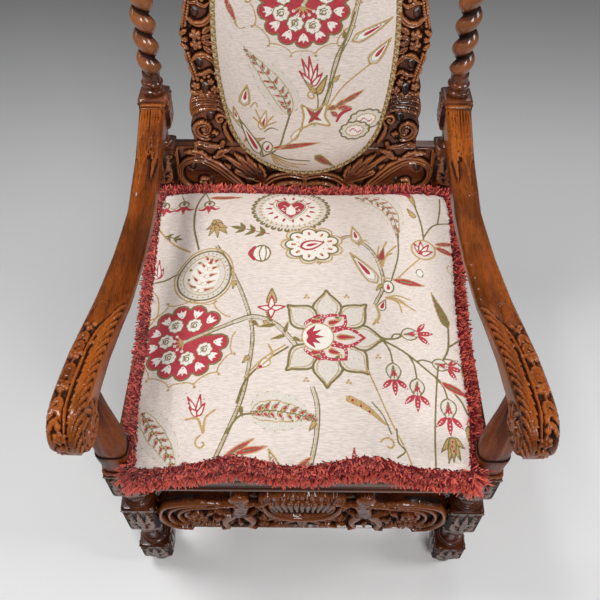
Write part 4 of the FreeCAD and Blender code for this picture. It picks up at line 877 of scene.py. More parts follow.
cut.bend([(186, 37), (176, 28), (162, 28), (151, 38), (146, 52)], [4, 10, 11, 9, 3], 18, "leaf", 4, 4)
cut.bend([(182, 62), (170, 62), (158, 56), (150, 62)], [3, 8, 8, 3], 16.5, "leaf", 3, 3)
cut.flower((176, 8), 11, 18.5)
cut.flower((176, 8), 6, 19.5, turn=36)
cut.leaf([(190, 16), (198, 10), (204, 3)], 9, 16.5, 2)
cut.leaf([(166, 2), (156, 6), (147, 4)], 12, 16.5, 3)
cut.leaf([(164, 12), (154, 20), (146, 22)], 12, 17, 3)
cut.leaf([(190, 2), (196, 0), (202, 2)], 8, 16, 2)
cut.ease_edge(side_room, 3.0, 3.2)
for hand, side in ((-1, "left"), (1, "right")):
    board = carved_board("carved_back_side_" + side, cut, side_room,
        lambda x, u, depth, hand=hand: on_back(hand * x, u, depth), frame_back, oak_upright)
    wooden(board, "back_frame_" + side)

# Lower rail of the back: oak, tenoned into the posts under the oval. S-scrolls wind about two
# piercings, with acanthus leaves between them.
oak_across = waxed_oak("waxed_oak_across", "x", "34180C", "7A3E22", "B06C3C", 0.22, "BC7848", 0.7)
cut = Relief((-235.5, 28), (235.5, 134), 1.4, carved_ground, fold_x=True)
low_edge = np.array([(-234, 133), (-234, 32), (-206, 30), (-145, 33), (-70, 30), (0, 32), (70, 30),
    (145, 33), (206, 30), (234, 32), (234, 133)], float)
low_room = room(cut, low_edge, [opening, ring((205.9, 90), 6, 7.8), ring((170.8, 60.9), 9, 4.8),
    ring((131, 90), 4.6, 7.6)])
cut.bend([(112, 46), (134, 68), (158, 92), (184, 108), (210, 106), (227, 90), (228, 66), (214, 48),
    (192, 43), (176, 50), (178, 63), (190, 66), (194, 57)],
    [8, 17, 21, 21, 19, 15, 12, 11, 9, 8, 7, 6, 5], 18.5, "ridges")
cut.bend([(104, 40), (128, 58), (150, 80), (172, 96)], [4, 9, 10, 4], 16, "round")
cut.bead((187, 56), 6, 17.5)
cut.bend([(128, 44), (104, 42), (80, 52), (56, 70), (28, 76), (0, 70)], [6, 12, 13, 12, 11, 10], 17.5,
    "band")
cut.bend([(0, 52), (22, 56), (46, 52), (66, 40)], [8, 9, 8, 4], 16, "ridges")
for tip, bend, width in (((128, 122), (104, 96), 20), ((106, 116), (92, 92), 18),
        ((146, 100), (118, 78), 17), ((84, 100), (78, 84), 15), ((152, 122), (134, 108), 16)):
    cut.leaf([(76, 60), bend, tip], width, 17.5, 4)
cut.leaf([(176, 112), (196, 122), (218, 124)], 16, 16.5, 4)
cut.leaf([(160, 112), (150, 124), (134, 130)], 14, 16.5, 3)
cut.leaf([(0, 36), (0, 52), (0, 68)], 13, 18, 3)
cut.leaf([(6, 38), (16, 50), (34, 60)], 11, 17, 3)
cut.leaf([(8, 36), (28, 42), (50, 40)], 10, 16.5, 3)
cut.flower((0, 70), 8, 18.5, 6)
cut.stroke(np.array([(0, 34), (226, 34)]), 5, 15.5)
cut.stroke(np.array([(231, 36), (231, 128)]), 4, 14)
cut.berries([(150 + 7 * step, 116 - 1.5 * step) for step in range(4)], 3.0, 15.5)
cut.ease_edge(low_room, 3.0, 3.0)
wooden(carved_board("carved_lower_back_rail", cut, low_room, on_back, frame_back, oak_across),
    "back_lower_rail")

# Crest rail: oak, tenoned above the oval. A carved palmette stands between leafy scrolls. The photo
# does not show it, so its carving follows that of the rest of the back.
cut = Relief((-236, 550), (236, 802), 1.5, carved_ground, fold_x=True)
crest_edge = [(234, 552), (234, 650), (226, 668), (206, 688), (180, 699), (152, 702), (132, 714),
    (118, 729), (98, 744), (80, 752), (62, 754), (50, 766), (38, 784), (20, 796), (0, 800)]
crest_edge = np.vstack([np.array(crest_edge, float)[:1], flowing(crest_edge[1:], 5)])
crest_edge = np.vstack([crest_edge, crest_edge[-2::-1] * (-1, 1)])
crest_room = room(cut, crest_edge, [opening] + [ring((234 * across, 552 + 248 * up), 6 * wide, 6 * tall)
    for across, up, wide, tall in ((0.87, 0.2, 1, 1.3), (0.62, 0.36, 1.4, 0.8), (0.52, 0.56, 1.3, 0.8),
    (0.2, 0.72, 0.9, 1.4))])
cut.stroke(rim_line[48:97], 8, 14.5)
cut.scroll((203, 602), 22, 7, 250, 1.3, 12, 18, "band")
cut.bend([(224, 572), (229, 600), (226, 634), (206, 654), (176, 652), (150, 632), (128, 622)],
    [6, 10, 12, 14, 15, 13, 6], 17.5, "ridges")
cut.scroll((176, 678), 16, 5, 330, 1.2, 9, 17.5, "band")
cut.bend([(190, 664), (160, 668), (134, 684), (112, 706), (90, 722), (66, 724), (50, 708), (52, 690),
    (66, 684)], [6, 12, 14, 14, 13, 11, 9, 8, 6], 18.5, "ridges")
cut.scroll((64, 696), 12, 4, 200, 1.1, 7, 18, "round")
for tip, bend, width in (((0, 792), (0, 740), 24), ((24, 776), (14, 736), 20), ((42, 748), (28, 720), 18),
        ((46, 672), (26, 680), 16), ((34, 650), (18, 662), 15)):
    cut.leaf([(0, 676), bend, tip], width, 19, 5)
cut.flower((0, 672), 17, 19, 6)
cut.flower((0, 672), 9, 20, 6, 30)
for tip, bend, width in (((96, 660), (70, 664), 16), ((118, 648), (86, 646), 15),
        ((92, 632), (66, 642), 14), ((150, 604), (170, 630), 16), ((186, 566), (170, 590), 14)):
    cut.leaf([(42, 652) if tip[0] < 120 else (190, 640), bend, tip], width, 17, 4)
cut.flower((118, 664), 11, 17.5)
cut.flower((150, 690), 9, 17)
cut.berries([(100 + 8 * step, 676 - 3 * (step % 2)) for step in range(5)]
    + [(208, 640), (214, 646), (220, 640), (214, 634)], 4, 16.5)
cut.berries([(226 - 2 * step, 560 + 8 * step) for step in range(3)], 4, 16)
cut.leaf([(112, 738), (126, 722), (150, 712)], 12, 16.5, 3)
cut.ease_edge(crest_room, 3.0, 3.2)
wooden(carved_board("carved_crest_rail", cut, crest_room, on_back, frame_back, oak_across), "crest_rail")

# Arm supports: scroll-sawn oak, swept outwards and back, with a ridge down the front, a bead along the
# inner edge and a leaf-carved foot that is dowelled to the front leg.
oak_support = waxed_oak("waxed_oak_support", "z", "2A1108", "6C2F12", "95501F", 0.34, "8E4A22", 0.12)
support_rows = [(440.3, 18.5, 7.0), (446, 19, 7.0), (455, 17.8, 5.0), (470, 18.4, 4.0), (490, 20.2, 3.6),
    (503, 21.4, 3.6), (508, 21.6, 3.4), (511, 20.0, 3.2), (528, 21.4, 2.6), (550, 21.0, 2.4),
    (575, 19.0, 2.2), (600, 16.6, 2.4), (622, 14.2, 3.6), (635.7, 13.0, 5.0)]
foot_leaves = Relief((-24, 442), (24, 540), 1.4, 0.0)
for way in (-1, 1):
    foot_leaves.leaf([(way * 2, 446), (way * 9, 470), (way * 8, 503)], 12, 4.2, 4)
    foot_leaves.leaf([(way * 12, 446), (way * 18, 468), (way * 17, 492)], 9, 3.8, 3)
    foot_leaves.scroll((way * 15, 498), 5, 2, 90, way * 0.8, 4.0, 3.8, "round")
    foot_leaves.bead((way * 10, 452), 3, 3.6, 0.5)
foot_leaves.leaf([(0, 444), (0, 470), (0, 500)], 9, 3.2, 3)


def ridge_shape(level, turn):
    """A soft ridge down the front and a bead along the inner front edge, both painted a little lighter,
    rubbing and a painted highlight, and a line of painted shade round the step where the carved foot ends.
    """
    share = np.clip((level - 512) / 10, 0, 1) * np.clip((632 - level) / 12, 0, 1)
    front = np.exp(-((np.mod(turn + math.pi / 2 + math.pi, 2 * math.pi) - math.pi) / 0.22) ** 2)
    inner = np.exp(-((turn - math.pi * 1.26) / 0.08) ** 2)
    return (share * (3.6 * front + 2.2 * inner),
        share * 0.4 * (front + inner) - np.exp(-((level - 510) / 2.2) ** 2))


for side in (-1, 1):
    def support_place(across, deep, level, side=side):
        up = np.clip((level - 440) / 196, 0, 1)
        y = np.interp(level, [440, 470, 500, 538, 570, 600, 636],
            [-307.2, -309.5, -309.6, -306.5, -300.9, -294.4, -285.3])
        middle = np.interp(level, [440, 500, 540, 580, 610, 636], [280, 279.5, 280.5, 284.5, 289, 292])
        return np.stack([side * (middle + across * (1.15 - 0.02 * up)), y + deep * (1.0 - 0.22 * up),
            level], -1) / 1000

    label = "left" if side < 0 else "right"
    wooden(stacked("swept_arm_support_" + label, support_rows, support_place, oak_support,
        [(foot_leaves, 1)], ridge_shape, 96, 1.5), "arm_support_" + label)

# Arms: oak sawn to a side outline and rounded over, with long leaf flutes at the post, two plain
# facets along the middle, and a flower trail, curved flutes and a rosette on the scroll.
oak_deep = waxed_oak("waxed_oak_front_to_back", "y", "4A1F09", "984A14", "C06C24", 0.24)
hub = (-335.1, 642.0)
arm_wide = 44.0
top_path = np.vstack([flowing([(244.6, 675.6), (138.7, 657.1), (31, 650), (-59, 650.7), (-149, 656.6),
    (-194, 661.6), (-239, 668), (-287, 675.5), (-335, 680)], 12),
    [(hub[0] + 38 * math.cos(angle), hub[1] + 38 * math.sin(angle))
    for angle in np.linspace(math.pi / 2, math.pi * 1.75, 50)[1:]]])
under_path = np.vstack([[(-297.6, 636), (-272.6, 636)],
    flowing([(-272.6, 636), (-210, 635.8), (-149, 633.7), (-59, 627), (31, 616), (133.7, 623.3),
    (236.6, 624.7)], 8)[1:]])
arm_outline = np.vstack([top_path, under_path])
top_run = np.concatenate([[0], np.cumsum(np.hypot(*np.diff(top_path, axis=0).T))])
edge_round = 3.0
# The arm's top, unrolled: places run from the post to the end of the scroll, and across from -22 to 22.
top_cut = Relief((0, -22), (top_run[-1], 22), 1.3, 0.0)
top_cut.stroke([(7, -22), (7, 22)], 6, 2.6)
for line, width, top in (([(13, -22), (13, 22)], 3, 1.6), ([(150, 9), (182, 9)], [22, 16], 1.8),
        ([(120, 9), (150, 9), (176, 9)], [24, 24, 20], 2.2)):
    top_cut.stroke(line, width, top, base=0.6)
for place in (-19, -13.5, -8, -2.5, 3, 8.5, 14, 19):
    long = 168 - 4.0 * abs(place - 8)
    top_cut.bend([(18, place * 0.9), (60, place), (105, place * 0.8 + 2), (long, place * 0.45 + 5)],
        [4.6, 5.8, 5.4, 2], 4.8)
top_cut.leaf([(60, -16), (110, -15), (160, -13)], 12, 5.2, 5)
top_cut.leaf([(22, -20), (70, -19), (120, -20)], 8, 4.6, 5)
for run, place in ((64, 13), (69, 14), (74, 14.5), (102, 17), (107, 17.5), (112, 18), (78, -6), (83, -7),
        (88, -8), (104, -9), (109, -9.5), (114, -10)):
    top_cut.bead((run, place), 2.2, 5.8, 3.2)
top_cut.stroke([(182, 6), (186, 9), (182, 14)], 3, 2.4)
top_cut.bend([(402, 2), (398, 8), (402, 15), (418, 20), (440, 21)], [2, 3, 3, 2], 2.2)
top_cut.stroke([(406, 8.5), (436, 8.5)], [16, 18], 1.6, base=0.8)
for run, place, size in ((448, 10, 4.6), (441, 5.5, 4.0), (441, 14.5, 4.0)):
    top_cut.bead((run, place), size, 4.2, 0.8)
for run, spread, size in ((456, 8, 9), (472, 8, 9), (512, 8, 10), (526, 9, 10), (566, 8, 9), (580, 8, 9),
        (596, 7, 8), (634, 9, 9), (648, 8, 8)):
    middle = 12 if run < 600 else 4
    for way in (-1, 1):
        top_cut.leaf([(run, middle - way * 0.5), (run + 9, middle + way * spread * 0.6),
            (run + 19, middle + way * spread)], size, 4.6, 2)
top_cut.stroke([(452, 11), (560, 13), (600, 8), (660, 3)], 2.4, 3.4)
top_cut.flower((494, 12), 11, 5.6, 5, 20)
top_cut.flower((548, 12.5), 11, 5.8, 5, 60)
top_cut.bead((606, 7), 4.6, 5.0)
top_cut.flower((621, 5), 10, 4.8, 6, 0)
for step in range(16):
    run = 402 + 15.5 * step
    top_cut.bend([(run, -22.5), (run + 12, -17), (run + 32, -10.5), (run + 60, -4.5)], [4.4, 4.8, 4.2, 2],
        4.4)
top_cut.bend([(420, -16), (446, -4), (480, 0.5), (560, 1), (640, -2)], [2.5, 3.4, 3.4, 3.4, 2], 4.4)
for run in (474, 540):
    top_cut.bead((run, -4.5), 3.0, 4.0, 1.0)
top_cut.stroke([(668, -20), (668, 20)], [2, 3, 2], 1.6)
# Hollows of the arm's top: polish and painted shade in its deep places, rubbing and a painted highlight on
# its proud edges.
top_wear_and_shade = top_cut.hollows(2.6, 1.6)
# The arm's side, seen from beside the chair: a sunk round with a whorl of leaves on the scroll.
side_cut = Relief((-380, 598), (252, 690), 1.5, 0.0)
away = np.hypot(side_cut.x - hub[0], side_cut.u - hub[1])
side_cut.height -= 3.0 * np.clip((33.5 - away) / 2.5, 0, 1)
for step in range(8):
    angle = math.radians(45 * step)
    for reach, swing in ((12, 0.0), (20, 0.35)):
        foot = (hub[0] + reach * math.cos(angle + swing), hub[1] + reach * math.sin(angle + swing))
        tip = (hub[0] + (reach + 12) * math.cos(angle + swing + 0.35),
            hub[1] + (reach + 12) * math.sin(angle + swing + 0.35))
        side_cut.stroke([foot, tip], [3, 8, 3], 0.6 - 0.02 * reach, "leaf", veins=2, base=-2.2)
side_cut.flower(hub, 11, 1.2, 6)
inside = in_outline(side_cut.x.ravel(), side_cut.u.ravel(),
    arm_outline).reshape(side_cut.x.shape) - edge_round
side_cut.height -= 2.4 * np.clip(1 - inside / 3.5, 0, 1) ** 2
plan_y = [-373, -335, -308, -239, -149, -59, 31, 138.7, 245]
plan_inner = [277, 275.7, 274, 266.5, 250, 241.5, 237, 236.9, 238.2]
plan_outer = [327, 327, 325, 318, 302, 288, 278, 278, 281]


def arm_push(y, z, share):
    """Carving and rounding of the arm's top and front, by the place along them and across, and the
    carving's hollows: polish and painted shade in the deep places, rubbing and a painted highlight on the
    proud edges.
    """
    away, along, _ = nearest(y, z, top_path)
    on_top = np.clip((7.0 - away) / 2.0, 0, 1)
    run = along * top_run[-1]
    end = np.clip(np.minimum(share, 1 - share) / 0.07, 0, 1)
    push = (edge_round * (1 - abs(2 * share - 1) ** 9) ** 0.5
        + on_top * end * top_cut.at(run, (share - 0.5) * arm_wide))
    return push, on_top * top_cut.at(run, (share - 0.5) * arm_wide, top_wear_and_shade)


def arm_back(y, z):
    return arm_wide + side_cut.at(y, z)


for side in (-1, 1):
    def arm_place(y, z, depth, side=side):
        share = depth / arm_wide
        inner, outer = np.interp(y, plan_y, plan_inner), np.interp(y, plan_y, plan_outer)
        plain = np.clip((y + 175) / 40, 0, 1) * np.clip((75 - y) / 40, 0, 1)
        top = np.interp(y, top_path[:109][::-1, 0], top_path[:109][::-1, 1])
        up = np.clip((z - (top - 26)) / 26, 0, 1)
        z = z - up * (7.0 * plain * np.clip((0.4 - share) / 0.4, 0, 1)
            + 3.0 * plain * np.clip((share - 0.75) / 0.25, 0, 1))
        return np.stack([side * (inner + (outer - inner) * share), y, z], -1) / 1000

    label = "left" if side < 0 else "right"
    arm = carved_board("carved_arm_" + label, side_cut, inside, arm_place, arm_back, oak_deep,
        tuple(np.linspace(0.012, 0.988, 31)), arm_push)
    wooden(arm, "arm_" + label)


# Back pad: stuffing under cream slub cotton, domed out of the oval opening. The cotton has a
# traditional trailing floral in red, olive and tan yarns. Each yarn keeps a layer of distances on the
# mesh, so that its edges stay crisp at any scale.
def towards(degrees):
    """A unit step at an angle, and the one square to it."""
    angle = math.radians(degrees)
    return np.array([math.cos(angle), math.sin(angle)]), np.array([-math.sin(angle), math.cos(angle)])


def polar(centre, radius, degrees):
    return np.array(centre, float) + radius * towards(degrees)[0]


def closed(outline):
    return np.vstack([outline, outline[:1]])


class Weave:
    """Figures woven into a cloth. Each yarn's layer holds how far places lie inside its figures."""

    yarns = ("shade", "tan", "red", "pale", "olive", "berry", "white")

    def __init__(self, x, u):
        self.x, self.u = x.ravel(), u.ravel()
        self.layers = {yarn: np.full(self.x.shape, -5.0) for yarn in self.yarns}

    def near(self, points, reach):
        low, high = points.min(0) - reach, points.max(0) + reach
        beside = (self.x > low[0]) & (self.x < high[0])
        return np.nonzero(beside & (self.u > low[1]) & (self.u < high[1]))[0]

    def put(self, yarn, near, away):
        """Weaves one figure. Its yarn covers what was there before, as a painter would."""
        away = np.clip(away, -5, 5)
        for other, layer in self.layers.items():
            layer[near] = np.maximum(layer[near], away) if other == yarn else np.minimum(layer[near],
                0.25 - away)

    def line(self, yarn, points, width=2.4, smooth=True):
        line = flowing(points) if smooth else np.array(points, float)
        width = 1.3 * np.atleast_1d(np.array(width, float))
        near = self.near(line, 6)
        if len(near):
            away, along, _ = nearest(self.x[near], self.u[near], line)
            self.put(yarn, near, np.interp(along, np.linspace(0, 1, len(width)), width) / 2 - away)

    def fill(self, yarn, outline):
        outline = np.array(outline, float)
        near = self.near(outline, 4)
        if len(near):
            self.put(yarn, near, in_outline(self.x[near], self.u[near], outline))

    def dot(self, yarn, centre, radius):
        near = np.nonzero((abs(self.x - centre[0]) < radius + 4)
            & (abs(self.u - centre[1]) < radius + 4))[0]
        if len(near):
            self.put(yarn, near, radius - np.hypot(self.x[near] - centre[0], self.u[near] - centre[1]))

    def seed(self, yarn, heart, centre, radius):
        self.dot(yarn, centre, radius)
        self.dot(heart, centre, radius * 0.47)

    def edged(self, outline, fill, edge, width=2.4):
        self.fill(fill, outline)
        self.line(edge, closed(outline), width, False)

    def clear(self, centre, radius):
        """Keeps a ground-coloured disc free of what was woven before."""
        near = np.hypot(self.x - centre[0], self.u - centre[1]) - radius
        for yarn in ("shade", "tan", "red", "olive"):
            self.layers[yarn] = np.minimum(self.layers[yarn], np.clip(near, -5, 5))

    def petal(self, base, tip, wide, fill=None, edge=None, width=2.2, blunt=0.5):
        base, tip = np.array(base, float), np.array(tip, float)
        run = tip - base
        out = np.array([-run[1], run[0]]) / max(np.hypot(*run), 1e-6)
        share = np.linspace(0, 1, 9)[:, None]
        swell = wide / 2 * np.sin(math.pi * np.clip(share, 0, 1) ** blunt) ** 0.9
        outline = np.vstack([base + run * share + out * swell, (base + run * share - out * swell)[::-1]])
        if fill:
            self.fill(fill, outline)
        if edge:
            self.line(edge, outline, width, False)

    def bud_leaf(self, base, tip, wide):
        """A pointed leaf: tan edge, pale inside, a red dash at its heart."""
        base, tip = np.array(base, float), np.array(tip, float)
        self.petal(base, tip, wide, "shade", "tan", 2.4)
        self.petal(base + (tip - base) * 0.1, base + (tip - base) * 0.9, wide * 0.7, "white", "olive",
            1.2)
        self.petal(base + (tip - base) * 0.25, base + (tip - base) * 0.8, wide * 0.34, "berry")

    def slim(self, base, tip, wide):
        base, tip = np.array(base, float), np.array(tip, float)
        self.petal(base, tip, wide, "red", "tan", 1.6, 0.8)
        self.petal(base + (tip - base) * 0.2, base + (tip - base) * 0.8, wide * 0.3, "olive")

    def sprig(self, base, tip, pairs=3, yarn="olive", long=12.0, berry=None):
        base, tip = np.array(base, float), np.array(tip, float)
        run = (tip - base) / max(np.hypot(*(tip - base)), 1e-6)
        out = np.array([-run[1], run[0]])
        self.line("olive", [base, tip], 1.8, False)
        for step in range(pairs):
            foot = base + (tip - base) * (step + 0.5) / pairs
            for way in (-1, 1):
                self.petal(foot, foot + (run * 0.75 + out * way * 0.75) * long, long * 0.42, yarn)
            if berry:
                self.dot(berry, foot, 2.2)
        self.petal(tip - run * 2, tip + run * long, long * 0.42, yarn)

    def wheat(self, points, wide, seeds=7):
        """An ear: a serrated tan edge, slanting olive leaves with a red seed each, and a soft tan halo."""
        line = flowing(points)
        run = np.gradient(line, axis=0)
        run /= np.hypot(run[:, 0], run[:, 1])[:, None]
        out = np.stack([-run[:, 1], run[:, 0]], 1)
        share = np.linspace(0, 1, len(line))
        swell = (np.sin(math.pi * share ** 0.7) ** 0.8) * wide / 2
        teeth = 1 + 0.16 * np.mod(-share * seeds * 2.5, 1)
        for grow, yarn, lift in ((1.9, "shade", 1.0), (1.0, "tan", 0.9), (1.0, "shade", -0.9)):
            half = np.maximum(swell * teeth * grow + lift, 0.1)[:, None]
            self.fill(yarn, np.vstack([line + out * half, (line - out * half)[::-1]]))
        for way in (-1, 1):
            halo = line + way * out * (swell * 1.9 + 1.5)[:, None]
            for first in range(1, len(halo) - 3, 3):
                self.line("tan", halo[first:first + 2], 1.2, False)
        for seed in range(seeds * 2):
            at = int((seed + 0.4) / (seeds * 2) * (len(line) - 1))
            way = -1 if seed % 2 else 1
            foot = line[at] + way * out[at] * swell[at] * 0.06
            tip = foot + run[at] * wide * 0.36 + way * out[at] * swell[at] * 0.88
            self.petal(foot, tip, wide * 0.24, "tan", "olive", 1.0)
            self.petal(foot * 0.8 + tip * 0.2, foot * 0.15 + tip * 0.85, wide * 0.13, "berry")
        self.line("olive", line, 1.4, False)

    def bell(self, stem, centre, size, turn=-90):
        """A bellflower: olive dome, red tepals that curl outwards."""
        run, out = towards(turn)
        run, out, centre = run * size, out * size, np.array(centre, float)
        self.line("olive", [stem, centre - run * 0.4], 1.8, False)
        self.edged(ring(centre, size * 0.42, size * 0.4, 14), "shade", "olive", 2.4)
        self.dot("olive", centre - run * 0.12, size * 0.16)
        self.dot("berry", centre + run * 0.08, size * 0.09)
        self.petal(centre + run * 0.3, centre + run * 1.2, size * 0.4, "red", "tan", 1.2)
        for side in (-out, out):
            self.line("red", [centre + run * 0.3 + side * 0.15, centre + run * 0.68 + side * 0.5,
                centre + run * 0.62 + side * 0.95], [4.2, 4.6, 1.4])
            self.line("tan", [centre + run * 0.2 + side * 0.4, centre + run * 0.5 + side * 0.95], 1.4)

    def tulip(self, stem, centre, size, turn):
        """A tulip with an olive cup, red stamens and three red petals set with pale dots."""
        run, out = towards(turn)
        bow = out * 3
        run, out, centre = run * size, out * size, np.array(centre, float)
        self.line("olive", [stem, (np.array(stem) + centre - run) / 2 + bow, centre - run * 0.8], 2.2)
        self.petal(centre - run * 0.8, centre + run * 0.45, size * 0.85, "shade", "olive", 1.8, 0.8)
        for side in (-out, out * 0, out):
            self.line("olive", [centre - run * 0.6, centre + run * 0.2 + side * 0.22], 1.6)
            self.line("berry", [centre - run * 0.35, centre + run * 0.05 + side * 0.14], 1.8)
        for side, long in ((-out, 0.85), (out * 0, 1.25), (out, 0.85)):
            foot = centre + run * 0.35 + side * 0.22
            tip = centre + run * long + side * 0.72
            self.line("red", [foot, (foot + tip) / 2 + side * 0.08 + run * 0.08, tip], [4, 7, 6, 1.5])
            for share in (0.3, 0.52, 0.74):
                self.dot("white", foot + (tip - foot) * share + side * 0.06 + run * 0.05, 1.3)

    def tendril(self, points, yarn="tan", width=2.0):
        self.line(yarn, points, [width, width, width * 0.7])

    def stem(self, points, wide=5.0):
        """A double olive line with a tan core."""
        line = flowing(points)
        run = np.gradient(line, axis=0)
        out = np.stack([-run[:, 1], run[:, 0]], 1) / np.hypot(run[:, 0], run[:, 1])[:, None]
        self.line("shade", line, wide, False)
        self.line("tan", line, 1.2, False)
        self.line("olive", line + out * wide / 2, 1.8, False)
        self.line("olive", line - out * wide / 2, 1.4, False)
        for step in range(12, len(line) - 8, 10):
            way = 1 if step % 20 < 10 else -1
            foot, along = line[step] + out[step] * way * wide / 2, run[step] / np.hypot(*run[step])
            tip = foot + along * 15 + out[step] * way * 9
            self.petal(foot, tip, 7.5, "olive" if way > 0 else "tan", "tan" if way > 0 else "olive", 1.1)
            self.dot("berry", line[step - 5], 0.9)

    def rosette(self, centre, radius):
        turn = np.linspace(0, 2 * math.pi, 48, endpoint=False)
        edge = radius * (0.86 + 0.14 * np.abs(np.cos(4 * turn)))
        disc = np.stack([centre[0] + edge * np.cos(turn), centre[1] + edge * np.sin(turn)], 1)
        self.edged(disc, "pale", "olive", 1.2)
        self.line("olive", spiral(centre, radius * 0.55, radius * 0.12, 40, 1.6), 1.5, False)
        for angle in range(0, 360, 72):
            self.dot("olive", polar(centre, radius * 0.6, angle), 1.1)

    def palmette(self, centre, radius, facing, root, lobes=11, spread=300):
        """A red scalloped fan with pale rosettes, tulips in its lobes and a tan line of points outside."""
        centre = np.array(centre, float)
        first = facing - spread / 2
        fan, halo = [centre * 0.7 + np.array(root) * 0.3], []
        for lobe in range(lobes):
            for share in np.linspace(0, 1, 7):
                angle = first + spread * (lobe + share) / lobes
                fan.append(polar(centre, radius * (0.86 + 0.14 * math.sin(math.pi * share) ** 0.6),
                    angle))
                halo.append(polar(centre, radius * (1.06 + 0.1 * abs(2 * share - 1) ** 3), angle))
        self.edged(np.array(fan), "red", "olive", 2.2)
        self.line("tan", np.array(halo), 1.8, False)
        for lobe in range(lobes):
            if lobe:
                self.seed("tan", "olive", polar(centre, radius * 1.22, first + spread * lobe / lobes),
                    2.8)
            run, out = towards(first + spread * (lobe + 0.5) / lobes)
            foot = centre + run * radius * 0.7
            for side in (-out, out):
                self.petal(foot, foot + radius * (0.17 * run + 0.12 * side), radius * 0.1, "white")
            self.petal(foot, foot + run * radius * 0.2, radius * 0.07, "white")
            self.seed("white", "olive", foot, 3.4)
        for lobe in range(6):
            place = polar(centre, radius * (0.46 + 0.06 * (lobe % 2)),
                facing + (lobe - 2.5) * spread / 6.4)
            self.rosette(place, radius * 0.185)
        for lobe in (-2, -1, 0, 1, 2):
            tip = polar(centre, radius * 0.26, facing + 28 * lobe)
            self.line("tan", [np.array(root) * 0.4 + centre * 0.6, centre, tip], 2.2)
            self.seed("white", "olive", tip, 2.6)
        self.stem([root, (np.array(root) + centre) / 2, centre], radius * 0.08)

    def lotus(self, centre, radius, facing=0.0, petals=7):
        """The large flower: pointed cream petals, a ring of dotted red petals and a seeded heart."""
        centre = np.array(centre, float)
        for turn in range(petals):
            angle = facing + 46 * (turn - (petals - 1) / 2)
            run, out = towards(angle)
            for grow, fill, edge, width in ((1.0, "shade", "olive", 3.0), (0.86, None, "tan", 1.5)):
                half = radius * 0.29 * grow
                side = [(0.4, 0.5), (0.55, 0.86), (0.7, 0.88), (0.84, 0.52), (0.94, 0.2), (1.03, 0.0)]
                heart = centre + run * radius * 0.68
                leaf = [centre + run * radius * up + out * way * half * wide
                    for way, places in ((-1, side), (1, side[-2::-1])) for up, wide in places]
                leaf = flowing([heart + (point - heart) * grow for point in leaf], 5)
                if fill:
                    self.fill(fill, leaf)
                self.line(edge, leaf, width, False)
            for fleck in range(5):
                self.dot("tan", centre + radius * (
                    run * (0.58 + 0.06 * fleck) + out * 0.08 * (fleck % 3 - 1)), 1.0)
            if turn:
                point = polar(centre, radius * 0.97, angle - 23)
                for spot in ((0, 2.8), (2.8, -1.8), (-2.8, -1.8)):
                    self.dot("tan", point + spot, 2.1)
        self.clear(centre, radius * 0.42)
        heart = polar(centre, -radius * 0.2, facing)
        for turn, long in ((-2, 0.5), (-1, 0.56), (1, 0.56), (2, 0.5), (0, 0.66)):
            run, out = towards(facing + turn * 56)
            base = heart + run * radius * 0.28
            tip = centre + run * radius * long
            for side in (-out * radius, out * radius):
                edge = flowing([base + side * 0.1, (base + tip) / 2 + side * 0.19, tip], 8)
                self.line("red", edge, [3.6, 4.4, 3.2], False)
                for share in (0.15, 0.32, 0.5, 0.68, 0.84):
                    self.dot("white", edge[int(share * (len(edge) - 1))], 1.25)
            self.petal(base + run * 4, tip - run * radius * 0.1, radius * 0.14, "tan")
            self.petal(base + run * 6, tip - run * radius * 0.14, radius * 0.08, "berry")
        self.edged(ring(heart, radius * 0.29, radius * 0.29, 24), "pale", "tan", 2.0)
        root = polar(heart, -radius * 0.23, facing)
        for turn in (-2, -1, 0, 1, 2):
            run = towards(facing + turn * 26)[0] * radius
            self.petal(root + run * 0.05, root + run * (0.36 - 0.02 * abs(turn)), radius * 0.09, "berry")

    def blossom(self, centre, radius, petals=9):
        """A round-petalled pale flower in olive, shade and tan outlines, a red leaf at its heart."""
        centre = np.array(centre, float)
        turn = np.linspace(0, 2 * math.pi, 12 * petals, endpoint=False)
        edge = 0.76 + 0.24 * np.abs(np.sin(petals * turn / 2)) ** 0.55
        flat = np.stack([np.cos(turn), 0.8 * np.sin(turn)], 1) * edge[:, None] * radius
        self.fill("shade", centre + flat * 1.14)
        for grow, yarn, width in ((1.16, "tan", 2.2), (1.0, "olive", 2.4)):
            self.line(yarn, closed(centre + flat * grow), width, False)
        self.fill("pale", centre + flat * 0.97)
        self.line("olive", closed(centre + flat), 2.2, False)
        for run in ring((0, 0), 1, 0.8, petals * 2)[1::2]:
            self.petal(centre + run * radius * 0.58, centre + run * radius * 0.84, 6, "tan")
            self.dot("berry", centre + run * radius * 0.74, 2.2)
        for yarn, long, wide in (("berry", 0.5, 0.5), ("white", 0.4, 0.34), ("berry", 0.26, 0.14)):
            tilt = towards(17.2)[0] * radius * long
            self.petal(centre - tilt, centre + tilt, radius * wide, yarn, None, 2, 0.7)
        for spot in ring(centre, radius * 0.55, radius * 0.3, 9):
            self.dot("red", spot, 1.6)

